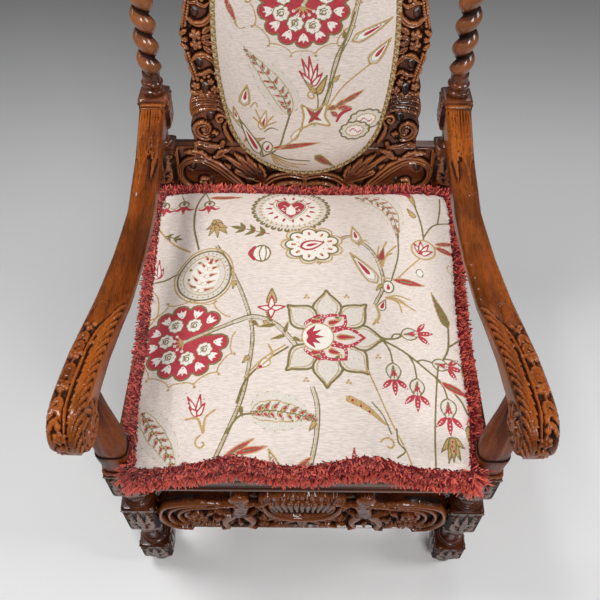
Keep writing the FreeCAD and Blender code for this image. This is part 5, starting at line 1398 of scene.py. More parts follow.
    def medallion(self, centre, wide, tall, turn):
        """An egg-shaped frame of lines and beads about a red-veined leaf."""
        spin = np.array(towards(turn))
        centre = np.array(centre, float)
        around = np.linspace(0, 2 * math.pi, 60, endpoint=False)
        egg = np.stack([wide * np.cos(around) * (1 - 0.12 * np.sin(around)), tall * np.sin(around)], 1)
        self.fill("shade", centre + egg @ spin * 0.9)
        self.fill("pale", centre + egg @ spin * 0.5)
        for grow, yarn, width in ((1.0, "tan", 2.2), (0.9, "olive", 2.4), (0.71, "tan", 1.4)):
            outline = centre + egg @ spin * grow
            self.line(yarn, closed(outline), width, False)
        for point in (centre + egg @ spin * 0.8)[::2]:
            self.dot("olive", point, 1.4)
        for step in range(5):
            for way in (-1, 1):
                foot = np.array([0, -tall * 0.6 + step * tall * 0.26])
                tip = foot + np.array([way * wide * (0.5 - 0.05 * step), tall * 0.24])
                self.petal(centre + foot @ spin, centre + tip @ spin, 7, "pale", "tan", 1.4)
                self.petal(centre + (foot * 0.65 + tip * 0.35) @ spin,
                    centre + (foot * 0.15 + tip * 0.85) @ spin, 3.6, "berry")
        for step in range(4):
            spot = centre + wide * 0.62 * towards(40.1 * step + 131.8)[0] @ spin
            self.petal(spot, spot * 0.8 + centre * 0.2, 6, "olive")
        self.petal(centre + np.array([0, tall * 0.4]) @ spin, centre + np.array([0, tall * 0.66]) @ spin,
            6, "berry", "tan", 1.2)

    def ruffle(self, centre, radius):
        """A paisley round: a ruffled olive edge, red ticks and a red heart within pale scrolls."""
        centre = np.array(centre, float)
        self.fill("shade", ring(centre, radius * 0.99, radius * 0.85))
        for run in ring((0, 0), 1, 0.86, 34):
            self.dot("olive", centre + run * radius, 5.0)
            self.petal(centre + run * radius * 0.8, centre + run * radius * 1.04, 6.0, "shade")
            self.petal(centre + run * radius * 0.78, centre + run * radius * 0.92, 3.4, "tan")
        self.fill("pale", ring(centre, radius * 0.79, radius * 0.68))
        for tick, run in enumerate(ring((0, 0), 1, 0.86, 30)):
            self.dot("tan", centre + run * radius * 0.76, 1.5)
            if tick % 2:
                self.petal(centre + run * radius * 0.5, centre + run * radius * 0.7, 5.0, "berry")
        heart = [(0, -0.42), (0.3, -0.1), (0.4, 0.2), (0.2, 0.38), (0, 0.2), (-0.2, 0.38), (-0.4, 0.2),
            (-0.3, -0.1), (0, -0.42)]
        for grow, yarn, width in ((1.2, "tan", 1.8), (1.0, "olive", 1.4)):
            self.line(yarn, [centre + np.array(point) * radius * grow for point in heart], width)
        self.fill("berry", flowing([centre + np.array(point) * radius * 0.92 for point in heart]))
        self.petal(centre + (0, -radius * 0.28), centre + (0, radius * 0.2), radius * 0.26, "white")
        for way in (-1, 1):
            curl = spiral(centre + radius * np.array([way * 0.2, -0.02]), radius * 0.15, 1, 90, way * 0.9)
            self.line("white", curl, 2.0, False)
            self.line("tan", curl, 1.2, False)


def woven_cover(name, figured=True):
    """Cream slub weave with raised weft, its figures in coloured yarn and a soft dry surface."""
    look = Finish(name)
    slub = look.noise(900, (0.1, 1, 1), 2.0)
    weft = look.noise(640, (0.1, 1, 1), 1.0)
    warp = look.noise(900, (1, 0.3, 0.3), 1.0)
    soil = look.noise(9, detail=2.0)
    colour = look.mix(slub.between(0.3, 0.6), paint("DBCCC2"), paint("EFE3DB"))
    colour = look.mix(soil * 0.3, colour, paint("E2D6CB"))
    colour = look.mix(weft.between(0.5, 0.62) * 0.45, colour, paint("CDBDB2"))
    raised = weft * 0.6
    if figured:
        fray = (weft - 0.5) * 0.9
        tints = (("shade", "E4DCD2", "D6CCC0"), ("tan", "CDAE74", "B08C50"), ("red", "C23446", "A82434"),
            ("pale", "F6F0E8", "ECE2D6"), ("olive", "8A7C46", "6C602F"), ("berry", "C02C3E", "A02032"),
            ("white", "F8F3EC", "EEE5DA"))
        for yarn, light, dark in tints:
            here = (look.layer(yarn) + fray).between(-0.35, 0.35)
            thread = look.mix(warp.between(0.35, 0.65), paint(light), paint(dark))
            colour = look.mix(here * 0.96, colour, thread)
            raised = raised + here * 0.35
    surface = look.bump(raised + warp * 0.3, 0.0007)
    return look.shade({"Base Color": colour, "Roughness": 0.88 - slub * 0.08, "Normal": surface,
        "Specular IOR Level": 0.2, "Sheen Weight": 0.1, "Sheen Roughness": 0.4})


figured_cover = woven_cover("figured_cotton")


def square(across, deep):
    return np.meshgrid(np.linspace(-1, 1, across + 1), np.linspace(-1, 1, deep + 1), indexing="ij")


def grid_faces(across, deep, start=0, turned=False):
    number = np.arange((across + 1) * (deep + 1)).reshape(across + 1, deep + 1) + start
    quads = np.stack([number[:-1, :-1], number[1:, :-1], number[1:, 1:], number[:-1, 1:]],
        -1).reshape(-1, 4)
    return quads[:, ::-1] if turned else quads


pad_crown, pad_ease = 18.0, 90
right, rise = square(168, 300)
u = oval_middle + 258.0 * (0.5 * rise + 0.5 * np.sin(rise * math.pi / 2)) * 0.998
edge_line = oval_line(0.0, 96)
right_side = edge_line[edge_line[:, 0] > 0]
right_side = right_side[np.argsort(right_side[:, 1])]
x = right * np.interp(u, right_side[:, 1], right_side[:, 0])
from_edge = np.clip(in_outline(x.ravel(), u.ravel(), oval_line(0.0, 24)).reshape(x.shape), 0, pad_ease)
dome = pad_crown * (1 - (1 - from_edge / pad_ease) ** 2.6) ** 0.72
dome = dome + 0.5 * np.sin(x / 23) * np.sin(u / 31) * (from_edge / pad_ease)
# The print, in millimetres across and up from the seat: stems first, so that the flowers cover them.
cloth = Weave(x, u)
cloth.stem([(-140, 224), (-112, 190), (-84, 156), (-76, 122)], 5)
cloth.stem([(14, 196), (36, 244), (50, 318), (70, 368), (84, 440)], 6)
cloth.palmette((-3, 412), 72, -90, (30, 470), 11, 290)
cloth.slim((-124, 420), (-108, 380), 9)
cloth.tendril([(-110, 380), (-104, 372), (-94, 374)])
cloth.wheat([(-26, 216), (-38, 252), (-66, 296), (-98, 338)], 27, 9)
cloth.line("olive", [(-26, 216), (-35, 184), (-47, 147), (-76, 122)], 2.6)
cloth.bud_leaf((-104, 232), (-96, 272), 18)
cloth.bud_leaf((-116, 196), (-122, 226), 10)
cloth.petal((-96, 170), (-108, 152), 7, "olive", "tan", 1.2)
cloth.petal((-88, 160), (-70, 168), 7, "tan", "olive", 1.2)
cloth.tendril([(-92, 230), (-84, 240), (-80, 230)])
cloth.petal((-76, 186), (-66, 224), 13, "pale", "tan", 2.0)
cloth.petal((-74, 190), (-68, 212), 5, "berry")
for tip in ((-84, 226), (-54, 214), (-50, 202), (-88, 210)):
    cloth.line("tan", [(-72, 190), ((-72 + tip[0]) / 2, (192 + tip[1]) / 2), tip], 2.2)
cloth.tendril([(-70, 182), (-58, 190), (-46, 186)], "olive")
cloth.petal((-80, 128), (-112, 202), 17, "pale", "olive", 2.0)
cloth.petal((-84, 138), (-104, 184), 7, "berry")
cloth.edged(ring((-66, 148), 9, 12), "pale", "olive", 2.0)
cloth.petal((-68, 140), (-62, 156), 5, "berry")
cloth.slim((-60, 146), (26, 160), 10)
cloth.petal((-22, 166), (-8, 190), 11, "pale", "tan", 1.8)
cloth.line("tan", [(-52, 142), (-20, 166), (6, 206)], 2.4)
cloth.line("olive", [(22, 216), (44, 282), (62, 350), (76, 400)], 2.2)
cloth.line("tan", [(30, 216), (60, 268), (92, 300), (112, 316)], 2.2)
cloth.bud_leaf((104, 312), (136, 352), 20)
cloth.bud_leaf((74, 352), (136, 386), 16)
for tip in ((-6, 322), (6, 326), (-10, 300), (20, 312), (28, 296)):
    cloth.petal((12, 272), tip, 8, "pale", "berry", 1.9)
    cloth.dot("berry", (tip[0] * 1.05 - 1, tip[1] + 7), 1.2)
cloth.petal((20, 256), (36, 292), 11, "tan", "olive", 1.8)
cloth.petal((18, 258), (-2, 284), 8, "tan", "olive", 1.6)
cloth.line("tan", spiral((12, 254), 11, 2, 60, 1.0), 2.4, False)
cloth.line("olive", [(18, 268), (22, 240), (18, 214)], 1.8)
for foot, tip in (((38, 228), (60, 236)), ((50, 232), (78, 252)), ((62, 240), (98, 264)),
        ((54, 230), (80, 232)), ((44, 224), (58, 212))):
    cloth.slim(foot, tip, 9)
cloth.line("olive", [(26, 222), (50, 232), (84, 254)], 1.6)
square_flower = [(-6, 236), (16, 226), (36, 238), (34, 214), (42, 196), (16, 200), (-4, 192), (-2, 214),
    (-6, 236)]
cloth.fill("pale", square_flower)
cloth.line("tan", square_flower, 3.2)
for tip in ((2, 232), (14, 224), (30, 232), (28, 206), (6, 200)):
    cloth.petal((15, 212), tip, 7, "berry", "olive", 1.2)
for centre, radius in (((104, 204), 27), ((86, 184), 24)):
    around = np.linspace(0, 2 * math.pi, 66, endpoint=False)
    bumps = radius * (0.88 + 0.12 * np.abs(np.sin(around * 5.5)))
    cluster = np.stack([centre[0] + bumps * np.cos(around) * 1.1,
        centre[1] + bumps * 0.8 * np.sin(around)], 1)
    cloth.edged(cluster, "shade", "olive", 2.4)
    cloth.edged(np.array(centre) + (cluster - centre) * 0.6, "pale", "tan", 1.8)
    for step in range(7):
        cloth.dot("berry", (centre[0] - 8 + 3 * step, centre[1] + 4 * math.sin(step)), 1.6)
cloth.line("berry", [(54, 204), (62, 220), (78, 228)], [3, 5, 3])
cloth.petal((18, 132), (54, 98), 16, "olive", "tan", 1.8)
cloth.petal((24, 126), (46, 104), 6, "berry")
for tip in ((-48, 104), (-30, 98), (-12, 100), (2, 108)):
    cloth.line("tan", [(-60, 132), ((-60 + tip[0]) / 2, (124 + tip[1]) / 2 - 4), tip], 2.6)
cloth.line("olive", [(-60, 134), (-32, 122), (8, 118)], 2.2)
cloth.petal((-34, 430), (-20, 520), 40, "shade", "olive", 2.4)
cloth.lotus((40, 520), 62, 80)
cloth.medallion((-58, 520), 38, 46, 12)
for foot, tip in (((86, 430), (112, 462)), ((92, 456), (72, 486)), ((-98, 444), (-122, 476)),
        ((-96, 470), (-70, 500))):
    cloth.petal(foot, tip, 14, "olive", "tan", 1.8)
back_pad = piece("back_pad_cover", on_back(x, u, -14.6 - dome).reshape(-1, 3),
    grid_faces(168, 300).tolist(), figured_cover, cloth.layers, 0)
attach(back_pad, "frame")
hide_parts("back_panel_pad")


# Front gimp: a flat braid of twisted cotton cords, olive and beige with a red fleck, glued round the
# oval over the cover's edge.
def gimp_yarn():
    """Ribbed cotton of three colours along the braid."""
    look = Finish("gimp_braid")
    tint = look.layer("tint")
    rib = look.noise(900, (1, 1, 1), 2.0)
    colour = look.mix(tint.between(0.3, 0.36), paint("A08A56"), paint("D8C294"))
    colour = look.mix(tint.between(0.7, 0.76), colour, paint("B4643E"))
    colour = look.mix(rib * 0.3, colour, paint("665A38"))
    return look.shade({"Base Color": colour, "Roughness": 0.8 - rib * 0.1,
        "Normal": look.bump(rib, 0.0004), "Specular IOR Level": 0.25})


braid = gimp_yarn()


def gimp(name, middle, face, way):
    """Three strands that weave over one another along the oval, on its front or rear face."""
    line = oval_line(middle, 200)
    gap = np.hypot(*(np.roll(line, -1, 0) - line).T)
    run = np.concatenate([[0], np.cumsum(gap)[:-1]])
    total = run[-1] + gap[-1]
    waves = round(total / 14.0)
    out = line - (0, oval_middle)
    out = out / np.hypot(*out.T)[:, None]
    count, sides = len(line), 6
    points, faces, tint = [], [], []
    for strand in range(3):
        phase = 2 * math.pi * (run / total * waves + strand / 3)
        sway = 3.7 * np.sin(phase)
        lift = 1.4 + 0.9 * np.cos(2 * phase)
        for step in range(sides):
            angle = 2 * math.pi * step / sides
            swung = line + out * (sway + 1.9 * math.cos(angle))[:, None]
            points.append(on_back(swung[:, 0], swung[:, 1],
                face + way * (lift + 1.5 * math.sin(angle) - 0.9)))
        start = strand * count * sides
        place = np.arange(count)
        for step in range(sides):
            here, beside = start + step * count + place, start + (step + 1) % sides * count + place
            faces.append(np.stack([here, np.roll(here, -1), np.roll(beside, -1), beside], 1))
        tint += [np.full(count * sides, 0.1 + 0.4 * strand) if strand < 2
            else np.tile((np.sin(2 * phase) > 0.2) * 0.5 + 0.4, sides)]
    trim = piece(name, np.vstack(points), np.vstack(faces).tolist(), braid,
        {"tint": np.concatenate(tint)}, 60)
    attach(trim, "frame")
    return trim


front_gimp = gimp("gimp_front", 2.0, -15.0, -1)
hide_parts("back_gimp")

# Outside back: plain cream cotton stretched over the rear of the oval, turned in at its edge and glued.
# A gimp like the front one is glued over the edge.
plain_cover = woven_cover("plain_back_cotton", False)


def layered_pad(name, outline, centre, rings, place, material):
    """A closed flat form: its outline repeated smaller and smaller towards the middle of both faces."""
    outline, centre = np.array(outline, float), np.array(centre, float)
    count = len(outline)
    points = [place(*((centre + (outline - centre) * share).T), level) for share, level in rings]
    faces = [list(range(count))[::-1], list(range((len(rings) - 1) * count, len(rings) * count))]
    for step in range(len(rings) - 1):
        for corner in range(count):
            after = (corner + 1) % count
            faces.append([step * count + corner, step * count + after, (step + 1) * count + after,
                (step + 1) * count + corner])
    return piece(name, np.vstack(points), faces, material)


cover_line = oval_line(7.4, 60)
cover_rings = [(share, 5.2) for share in (0.02, 0.2, 0.4, 0.6, 0.8, 0.95)] + [(1, 5.4), (1, 7.4),
    (0.985, 7.9)]
cover_rings += [(share, 7.9 - 0.5 * (1 - share)) for share in (0.93, 0.8, 0.6, 0.4, 0.2, 0.02)]
outside_cover = layered_pad("outside_cover_cotton", cover_line, (0, oval_middle), cover_rings, on_back,
    plain_cover)
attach(outside_cover, "frame")
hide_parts("outside_back_cover")
rear_trim = gimp("gimp_rear", 10.0, 15.0, 1)
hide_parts("rear_gimp")


# Seat webbing: ten jute straps of 50 mm with two dark stripes, five each way, woven over and under
# one another and tacked to the seat rails.
def jute():
    """Coarse brown jute in a plain weave, with two darker stripes along each strap."""
    look = Finish("jute_webbing")
    across = look.layer("across")
    stripe = across.between(11.5, 12.5) * (1 - across.between(15.5, 16.5))
    thread = look.noise(600, (0.25, 1, 1), 2.0)
    weft = look.noise(600, (1, 0.25, 1), 2.0)
    colour = look.mix((thread * 0.5 + weft * 0.5).between(0.35, 0.65), paint("8A6D47"), paint("BFA274"))
    colour = look.mix(stripe * 0.75, colour, paint("4A2A1C"))
    return look.shade({"Base Color": colour, "Roughness": 0.92 - thread * 0.08,
        "Normal": look.bump(thread + weft, 0.0006), "Specular IOR Level": 0.2})


def crossing_level(along, crossings, first_up, ends):
    """Height of a strap's middle: up over one crossing, down under the next, and level at its ends."""
    stops = [-400.0] + list(crossings) + [400.0]
    levels = [ends] + [442.25 if (step + first_up) % 2 else 440.75
        for step in range(len(crossings))] + [ends]
    at = np.clip(np.searchsorted(stops, along) - 1, 0, len(stops) - 2)
    start, stop = np.array(stops)[at], np.array(stops)[at + 1]
    share = np.clip(((along - start) / (stop - start) - 0.5) / 0.24 + 0.5, 0, 1)
    share = share * share * (3 - 2 * share)
    return np.array(levels)[at] * (1 - share) + np.array(levels)[at + 1] * share


strap_points, strap_faces, strap_across, strap_run = [], [], [], 0.0
seat_centre = -31.598
strap_half, strap_pitch, strap_steps = 25.0, 92, 150
for number in range(10):
    lengthways = number < 5
    place = number % 5 - 2
    if lengthways:
        low, high, ends = -316.0, 240.8, 440.75
        crossings = [seat_centre + strap_pitch * step for step in (-2, -1, 0, 1, 2)]
    else:
        middle = seat_centre + strap_pitch * place
        reach = float(np.interp(middle, [-299, 234], [283.7, 241.0]))
        low, high, ends = -reach, reach, 442.25
        crossings = [strap_pitch * step for step in (-2, -1, 0, 1, 2)]
    along = np.linspace(low, high, strap_steps)
    level = crossing_level(along, crossings, place + (0 if lengthways else 1), ends)
    section = [(-1, -0.5), (-0.94, -0.72), (-0.5, -0.66), (0, -0.66), (0.5, -0.66), (0.94, -0.72),
        (1, -0.5), (1, 0.5), (0.94, 0.72), (0.5, 0.66), (0, 0.66), (-0.5, 0.66), (-0.94, 0.72), (-1, 0.5)]
    start, sides = sum(len(part) for part in strap_points), len(section)
    rows = []
    for wide, thick in section:
        if lengthways:
            rows.append(np.stack([np.full(strap_steps, place * strap_pitch + wide * strap_half), along,
                level + thick], 1))
        else:
            rows.append(np.stack([along, np.full(strap_steps, middle + wide * strap_half),
                level + thick], 1))
    strap_points.append(np.stack(rows, 1).reshape(-1, 3))
    strap_across += [abs(wide) * strap_half for wide, _ in section] * strap_steps
    for row in range(strap_steps - 1):
        for step in range(sides):
            beside = (step + 1) % sides
            strap_faces.append([start + row * sides + step, start + row * sides + beside,
                start + (row + 1) * sides + beside, start + (row + 1) * sides + step])
    strap_faces.append([start + step for step in range(sides)][::-1])
    strap_faces.append([start + (strap_steps - 1) * sides + step for step in range(sides)])
    strap_run += (high - low) / 1000
webbing = piece("woven_webbing", np.vstack(strap_points) / 1000, strap_faces, jute(),
    {"across": np.array(strap_across)})
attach(webbing, "frame")
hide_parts("seat_webbing")


# Seat deck: thin felt under a brown cotton canvas, laid on the webbing between the rails. It dips a
# little between the straps, and the loose cushion lies on it.
def deck_canvas():
    """Brown cotton canvas with patches of dust."""
    look = Finish("deck_canvas")
    thread = look.noise(800, (0.3, 1, 1), 2.0)
    dust = look.noise(14, detail=3.0)
    colour = look.mix(thread.between(0.35, 0.65), paint("3E2E20"), paint("5C4732"))
    colour = look.mix(dust * 0.35, colour, paint("75624B"))
    return look.shade({"Base Color": colour, "Roughness": 0.9 - thread * 0.08,
        "Normal": look.bump(thread, 0.0005), "Specular IOR Level": 0.2})


deck_corners = [(-245, -317), (245, -317), (245, -265), (283, -262), (283, -200), (262, 40), (240, 198),
    (228, 202), (228, 241), (-228, 241), (-228, 202), (-240, 198), (-262, 40), (-283, -200), (-283, -262),
    (-245, -265)]
deck_line = []
for corner, after in zip(deck_corners, deck_corners[1:] + deck_corners[:1]):
    for share in np.linspace(0, 1, 20, endpoint=False):
        deck_line.append((corner[0] * (1 - share) + after[0] * share,
            corner[1] * (1 - share) + after[1] * share))
deck_rings = [(share, 444.4) for share in (0.02, 0.5, 0.97)] + [(0.995, 445.4), (1, 447), (1, 449.5),
    (0.992, 451.2), (0.975, 452.0)]
deck_rings += [(share, 452.2 - 0.7 * (1 - share ** 4)) for share in (0.93, 0.8, 0.6, 0.4, 0.2, 0.02)]


def deck_place(x, y, level):
    dip = 0.0 if level < 450 else 0.3 * (1 + np.cos(x * 2 * math.pi / strap_pitch)) - 0.6
    return np.stack([x, y, x * 0 + level + dip], 1) / 1000


deck = layered_pad("seat_deck_canvas", deck_line, (0, -38), deck_rings, deck_place, deck_canvas())
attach(deck, "frame")
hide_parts("seat_deck")

# Loose cushion: two covers sewn to a narrow boxing and stuffed soft, the upper one figured. A cloth
# simulation blows the cover up between its seams; the print goes on a finer mesh that follows the
# result.
seat_middle = -66.0
seat_deep = 269.0
low_seam, high_seam = 466.6, 489.0
cover_bottom = 452.9
half_wide = np.array([(-337, 267), (-331, 262), (-322, 255), (-285, 254), (-225, 256), (-90, 256),
    (60, 261), (204, 265)], float)
front_wave = np.array([(-1, -8), (-0.72, -1), (-0.4, 14), (-0.14, 3), (0.05, 2), (0.38, 14), (0.62, 2),
    (1, -7)], float)


def smooth_between(at, table):
    """A smooth run through a table of places and values."""
    line = flowing(table.tolist(), 12)
    return np.interp(at, line[:, 0], line[:, 1])


def cushion_plan(right, back, inset=0.0):
    """Plan of the cushion from a square's places: sides drawn in, corners rounded, front corners flared."""
    wave = smooth_between(right, front_wave) * np.clip(-back, 0, 1) ** 5
    round_off = 8.0 * np.abs(right * back) ** 12
    y = seat_middle + back * (
        seat_deep - inset - 3.0 * (1 - right ** 2) * np.abs(back) - round_off) + wave * 0.8
    x = right * (smooth_between(y, half_wide) - inset - round_off)
    return x, y


def seam_rise(right, back):
    """How the upper seam wanders up and down round the cushion."""
    front = np.clip(-back, 0, 1) ** 5
    return front * smooth_between(right, front_wave) * 0.9 + (1 - front) * (
        2.0 * np.sin(right * 5 + back * 4) + 5.0 * (back + 1))


def cushion_top(right, back):
    x, y = cushion_plan(right, back)
    edge = np.maximum(np.abs(right), np.abs(back))
    crown = (26.0 * (1 - np.abs(right) ** 2.2) ** 0.85 * (1 - np.abs(back) ** 4) ** 0.8
        + 3.0 * (1 - edge ** 6))
    crown = crown + 3.0 * np.exp(-(((right - 0.15) / 0.4) ** 2 + ((back + 0.55) / 0.3) ** 2))
    pinch = (-4.5 * np.exp(-((np.abs(right) + np.abs(back) - 1.62) / 0.13) ** 2)
        * np.cos(9 * (right - np.sign(right * back) * back)))
    sag = 0.0
    for deep, to_right, to_back, wide, long in ((9.0, 0.93, -0.05, 0.12, 0.3),
            (13.0, -0.86, 0.45, 0.12, 0.34), (10.0, -0.84, -0.6, 0.1, 0.24),
            (3.0, 0.85, -0.7, 0.09, 0.2)):
        sag = sag - deep * np.exp(-(((right - to_right) / wide) ** 2 + ((back - to_back) / long) ** 2))
    along = np.where(np.abs(right) > np.abs(back), y, x)
    pucker = 1.5 * np.sin(along / 4.6 + 1.3 * np.sin(along / 19)) * np.exp(-((1 - edge) / 0.07) ** 2)
    pucker = pucker + (1.3 * np.sin(x / 13 + y / 31 + 2 * np.sin(y / 47))
        * np.exp(-((1 - edge) / 0.3) ** 2))
    z = high_seam + seam_rise(right, back) + crown + (pinch + sag + pucker) * (1 - edge ** 12)
    return x, y, z


def rim_of(grid):
    """The outer ring of a grid of values, once round from the front left corner."""
    return np.concatenate([grid[:-1, 0], grid[-1, :-1], grid[:0:-1, -1], grid[0, :0:-1]])


def simulated_swell(across, deep, frames=20, most=9.0):
    """How far stuffing pushes the cover at each place of a coarse grid, in millimetres."""
    right, back = square(across, deep)
    top = np.stack(cushion_top(right, back), -1)
    low = np.stack([top[..., 0], top[..., 1],
        np.full(right.shape, low_seam) - 9 * (1 - np.maximum(abs(right), abs(back)) ** 6)], -1)
    count = right.size
    points = np.vstack([top.reshape(-1, 3), low.reshape(-1, 3)]) / 1000
    upper = rim_of(np.arange(count).reshape(right.shape))
    under = upper + count
    walls = np.stack([upper, under, np.roll(under, -1), np.roll(upper, -1)], 1)
    faces = np.vstack([grid_faces(across, deep), grid_faces(across, deep, count, True), walls])
    cover = piece("cushion_swell", points, faces.tolist(), plain_cover)
    held = cover.vertex_groups.new(name="seams")
    held.add(np.concatenate([upper, under]).tolist(), 1.0, "REPLACE")
    blowing = cover.modifiers.new("swell", "CLOTH")
    blowing.settings.vertex_group_mass = "seams"
    for setting, value in (("quality", 6), ("mass", 0.25), ("tension_stiffness", 12),
            ("compression_stiffness", 12), ("shear_stiffness", 6), ("bending_stiffness", 0.35),
            ("use_pressure", True), ("uniform_pressure_force", 4.0)):
        setattr(blowing.settings, setting, value)
    blowing.settings.effector_weights.gravity = 0
    blowing.point_cache.frame_start, blowing.point_cache.frame_end = 1, frames
    for frame_number in range(1, frames + 1):
        scene.frame_set(frame_number)
    shape = cover.evaluated_get(bpy.context.evaluated_depsgraph_get())
    blown = np.zeros(len(points) * 3)
    shape.data.vertices.foreach_get("co", blown)
    scene.frame_set(1)
    push = (blown.reshape(-1, 3) - points)[:count] * 1000
    bpy.data.objects.remove(cover)
    size = np.linalg.norm(push, axis=1, keepdims=True)
    return (push * np.minimum(1, most / np.maximum(size, 1e-6))).reshape(right.shape + (3,))


def spread(coarse, across, deep):
    """A coarse grid's values on a finer grid of the same square."""
    grid = Relief((0, 0), (coarse.shape[0] - 1, coarse.shape[1] - 1), 1.0, 0)
    across_at, deep_at = np.meshgrid(np.linspace(0, coarse.shape[0] - 1, across + 1),
        np.linspace(0, coarse.shape[1] - 1, deep + 1), indexing="ij")
    return np.stack([blurred(grid.at(across_at, deep_at, coarse[..., layer]), 2)
        for layer in range(coarse.shape[2])], -1)


cover_across, cover_deep = 284, 300
right, back = square(cover_across, cover_deep)
x, y, z = cushion_top(right, back)
push = spread(simulated_swell(84, 88), cover_across, cover_deep)
ease = (1 - np.maximum(np.abs(right), np.abs(back)) ** 24)[..., None]
push = push * ease
x, y, z = x + push[..., 0], y + push[..., 1], z + np.clip(push[..., 2], -3, 7)

# The print, in millimetres across and to the back: stems first, so that the flowers cover them.
cloth = Weave(x, y)
cloth.stem([(24, 16), (70, 78), (104, 62), (124, 30), (132, -20), (116, -62)], 5)
cloth.stem([(-150, 60), (-128, 20), (-98, -50), (-82, -110), (-82, -160), (-92, -230), (-112, -284),
    (-132, -330)], 5)
cloth.stem([(-112, -97), (-80, -88), (-44, -104), (-14, -140), (0, -168)], 7)
cloth.stem([(14, -214), (22, -246), (20, -290), (10, -338)], 6)
cloth.palmette((-188, -128), 70, 200, (-112, -97), 12, 338)
cloth.lotus((40, -127), 86, 0)
cloth.medallion((-166, 0), 49, 56, -18)
cloth.ruffle((-24, 147), 66)
cloth.blossom((14, 58), 46)
cloth.edged(ring((-72, 39), 15, 17), "pale", "olive", 2.2)
cloth.line("olive", [(-72, 54), (-76, 39), (-72, 24)], 1.8)
cloth.line("olive", [(-66, 53), (-64, 39), (-66, 25)], 1.6)
cloth.line("red", [(-84, 52), (-92, 40), (-84, 27)], 5)
cloth.sprig((-60, 82), (-112, 98), 3, "olive", 19, "berry")
for stem, centre in (((-257, 189), (-254, 168)), ((-224, 192), (-218, 168)), ((-182, 200), (-171, 164))):
    cloth.bell(stem, centre, 21)
cloth.line("olive", [(-180, 200), (-194, 160), (-194, 110), (-181, 55)], 2.8)
cloth.line("tan", [(-276, 150), (-256, 110), (-236, 84), (-196, 52)], 2.6)
cloth.sprig((-246, 96), (-222, 88), 2, "olive", 12)
cloth.petal((-160, 122), (-134, 86), 16, "tan", "olive", 1.6)
for tip in ((-172, 98), (-166, 84), (-150, 78), (-134, 100)):
    cloth.petal((-154, 112), tip, 9, "tan", "olive", 1.4)
for spot in ((-155, 116), (-151, 108), (-156, 102)):
    cloth.dot("berry", spot, 2)
cloth.slim((-172, 181), (-112, 181), 9)
cloth.wheat([(92, 188), (132, 172), (156, 138), (163, 84)], 26, 8)
cloth.line("olive", [(163, 84), (160, 40), (146, -10)], 2.2)
cloth.bud_leaf((92, 66), (84, 104), 17)
cloth.tendril([(96, 62), (104, 72), (112, 66)])
cloth.bud_leaf((122, -18), (78, 42), 22)
for tip in ((158, 64), (142, 72), (128, 60), (150, 48)):
    cloth.line("tan", [(132, 16), ((132 + tip[0]) / 2 - 4, (16 + tip[1]) / 2 + 4), tip], 2.4)
cloth.petal((130, 30), (136, 58), 9, "berry", "olive", 1.4)
cloth.slim((148, -8), (202, -14), 12)
cloth.edged(ring((140, -24), 9, 12), "pale", "olive", 2.0)
cloth.petal((140, -30), (140, -17), 6, "berry")
cloth.line("tan", [(132, -22), (134, -8), (144, -6)], 2)
for tip in ((176, -46), (170, -58), (182, -66), (160, -72)):
    cloth.line("tan", [(134, -46), (154, (-46 + tip[1]) / 2 + 6), tip], 2.2)
cloth.petal((124, -72), (134, -50), 13, "pale", "olive", 1.6)
cloth.petal((126, -69), (132, -53), 6, "berry")
cloth.line("tan", [(118, -62), (122, -84), (112, -100)], 3.4)
cloth.petal((190, 196), (200, 160), 10, "tan", "olive", 1.6)
for tip in ((176, 206), (188, 210), (168, 196)):
    cloth.line("berry", [(192, 186), ((192 + tip[0]) / 2, (186 + tip[1]) / 2 + 4), tip], [2, 4.5, 1.5])
cloth.line("olive", [(198, 166), (206, 120), (208, 84)], 2.4)
cloth.line("olive", [(208, 88), (228, 118), (258, 128)], 2.2)
cloth.line("olive", [(236, 122), (244, 160), (246, 186)], 2.2)
cloth.petal((196, 132), (184, 156), 10, "tan", "olive", 1.4)
cloth.edged(ring((206, 62), 21, 20), "shade", "tan", 2.4)
for tip in ((190, 74), (202, 80), (216, 74), (222, 60)):
    cloth.petal((202, 52), tip, 9, "pale", "berry", 1.8)
cloth.slim((228, 70), (262, 58), 10)
cloth.slim((228, 76), (264, 84), 8)
cloth.line("tan", [(198, 42), (176, 18), (156, -6)], 2.0)
cloth.edged(ring((196, 12), 6, 8), "pale", "olive", 1.4)
cloth.petal((236, -92), (212, -24), 16, "olive", "tan", 1.4)
for share in (0.3, 0.5, 0.7):
    cloth.dot("berry", (236 - 24 * share, -92 + 68 * share), 1.8)
cloth.line("olive", [(236, -92), (232, -130), (222, -152)], 2.6)
cloth.line("olive", [(232, -128), (252, -112), (272, -100)], 2.2)
cloth.petal((248, 36), (262, 4), 12, "shade", "tan", 1.4)
cloth.line("olive", [(122, -127), (146, -124), (156, -118)], 2.6)
cloth.tulip((140, -122), (176, -112), 26, 8)
cloth.line("olive", [(124, -128), (160, -148), (196, -178), (236, -214), (252, -244)], 2.6)
cloth.tulip((178, -162), (222, -164), 25, -10)
cloth.tulip((126, -130), (140, -190), 27, -88)
cloth.tulip((164, -150), (175, -214), 27, -92)
cloth.tulip((206, -188), (222, -244), 29, -90)
cloth.slim((214, -194), (258, -216), 12)
cloth.line("olive", [(212, -166), (204, -220), (198, -280), (196, -344)], 2.2)
cloth.line("olive", [(222, -150), (240, -152), (256, -166)], 2.0)
cloth.petal((252, -160), (262, -214), 9, "tan", "olive", 1.4)
for tip in ((206, -306), (216, -322), (234, -318), (242, -300)):
    cloth.petal((224, -284), tip, 10, "tan", "olive", 1.5)
cloth.petal((224, -282), (224, -320), 10, "tan", "olive", 1.5)
for spot in ((224, -290), (223, -297), (225, -304)):
    cloth.dot("berry", spot, 1.9)
cloth.petal((250, -262), (258, -320), 11, "tan", "olive", 1.4)
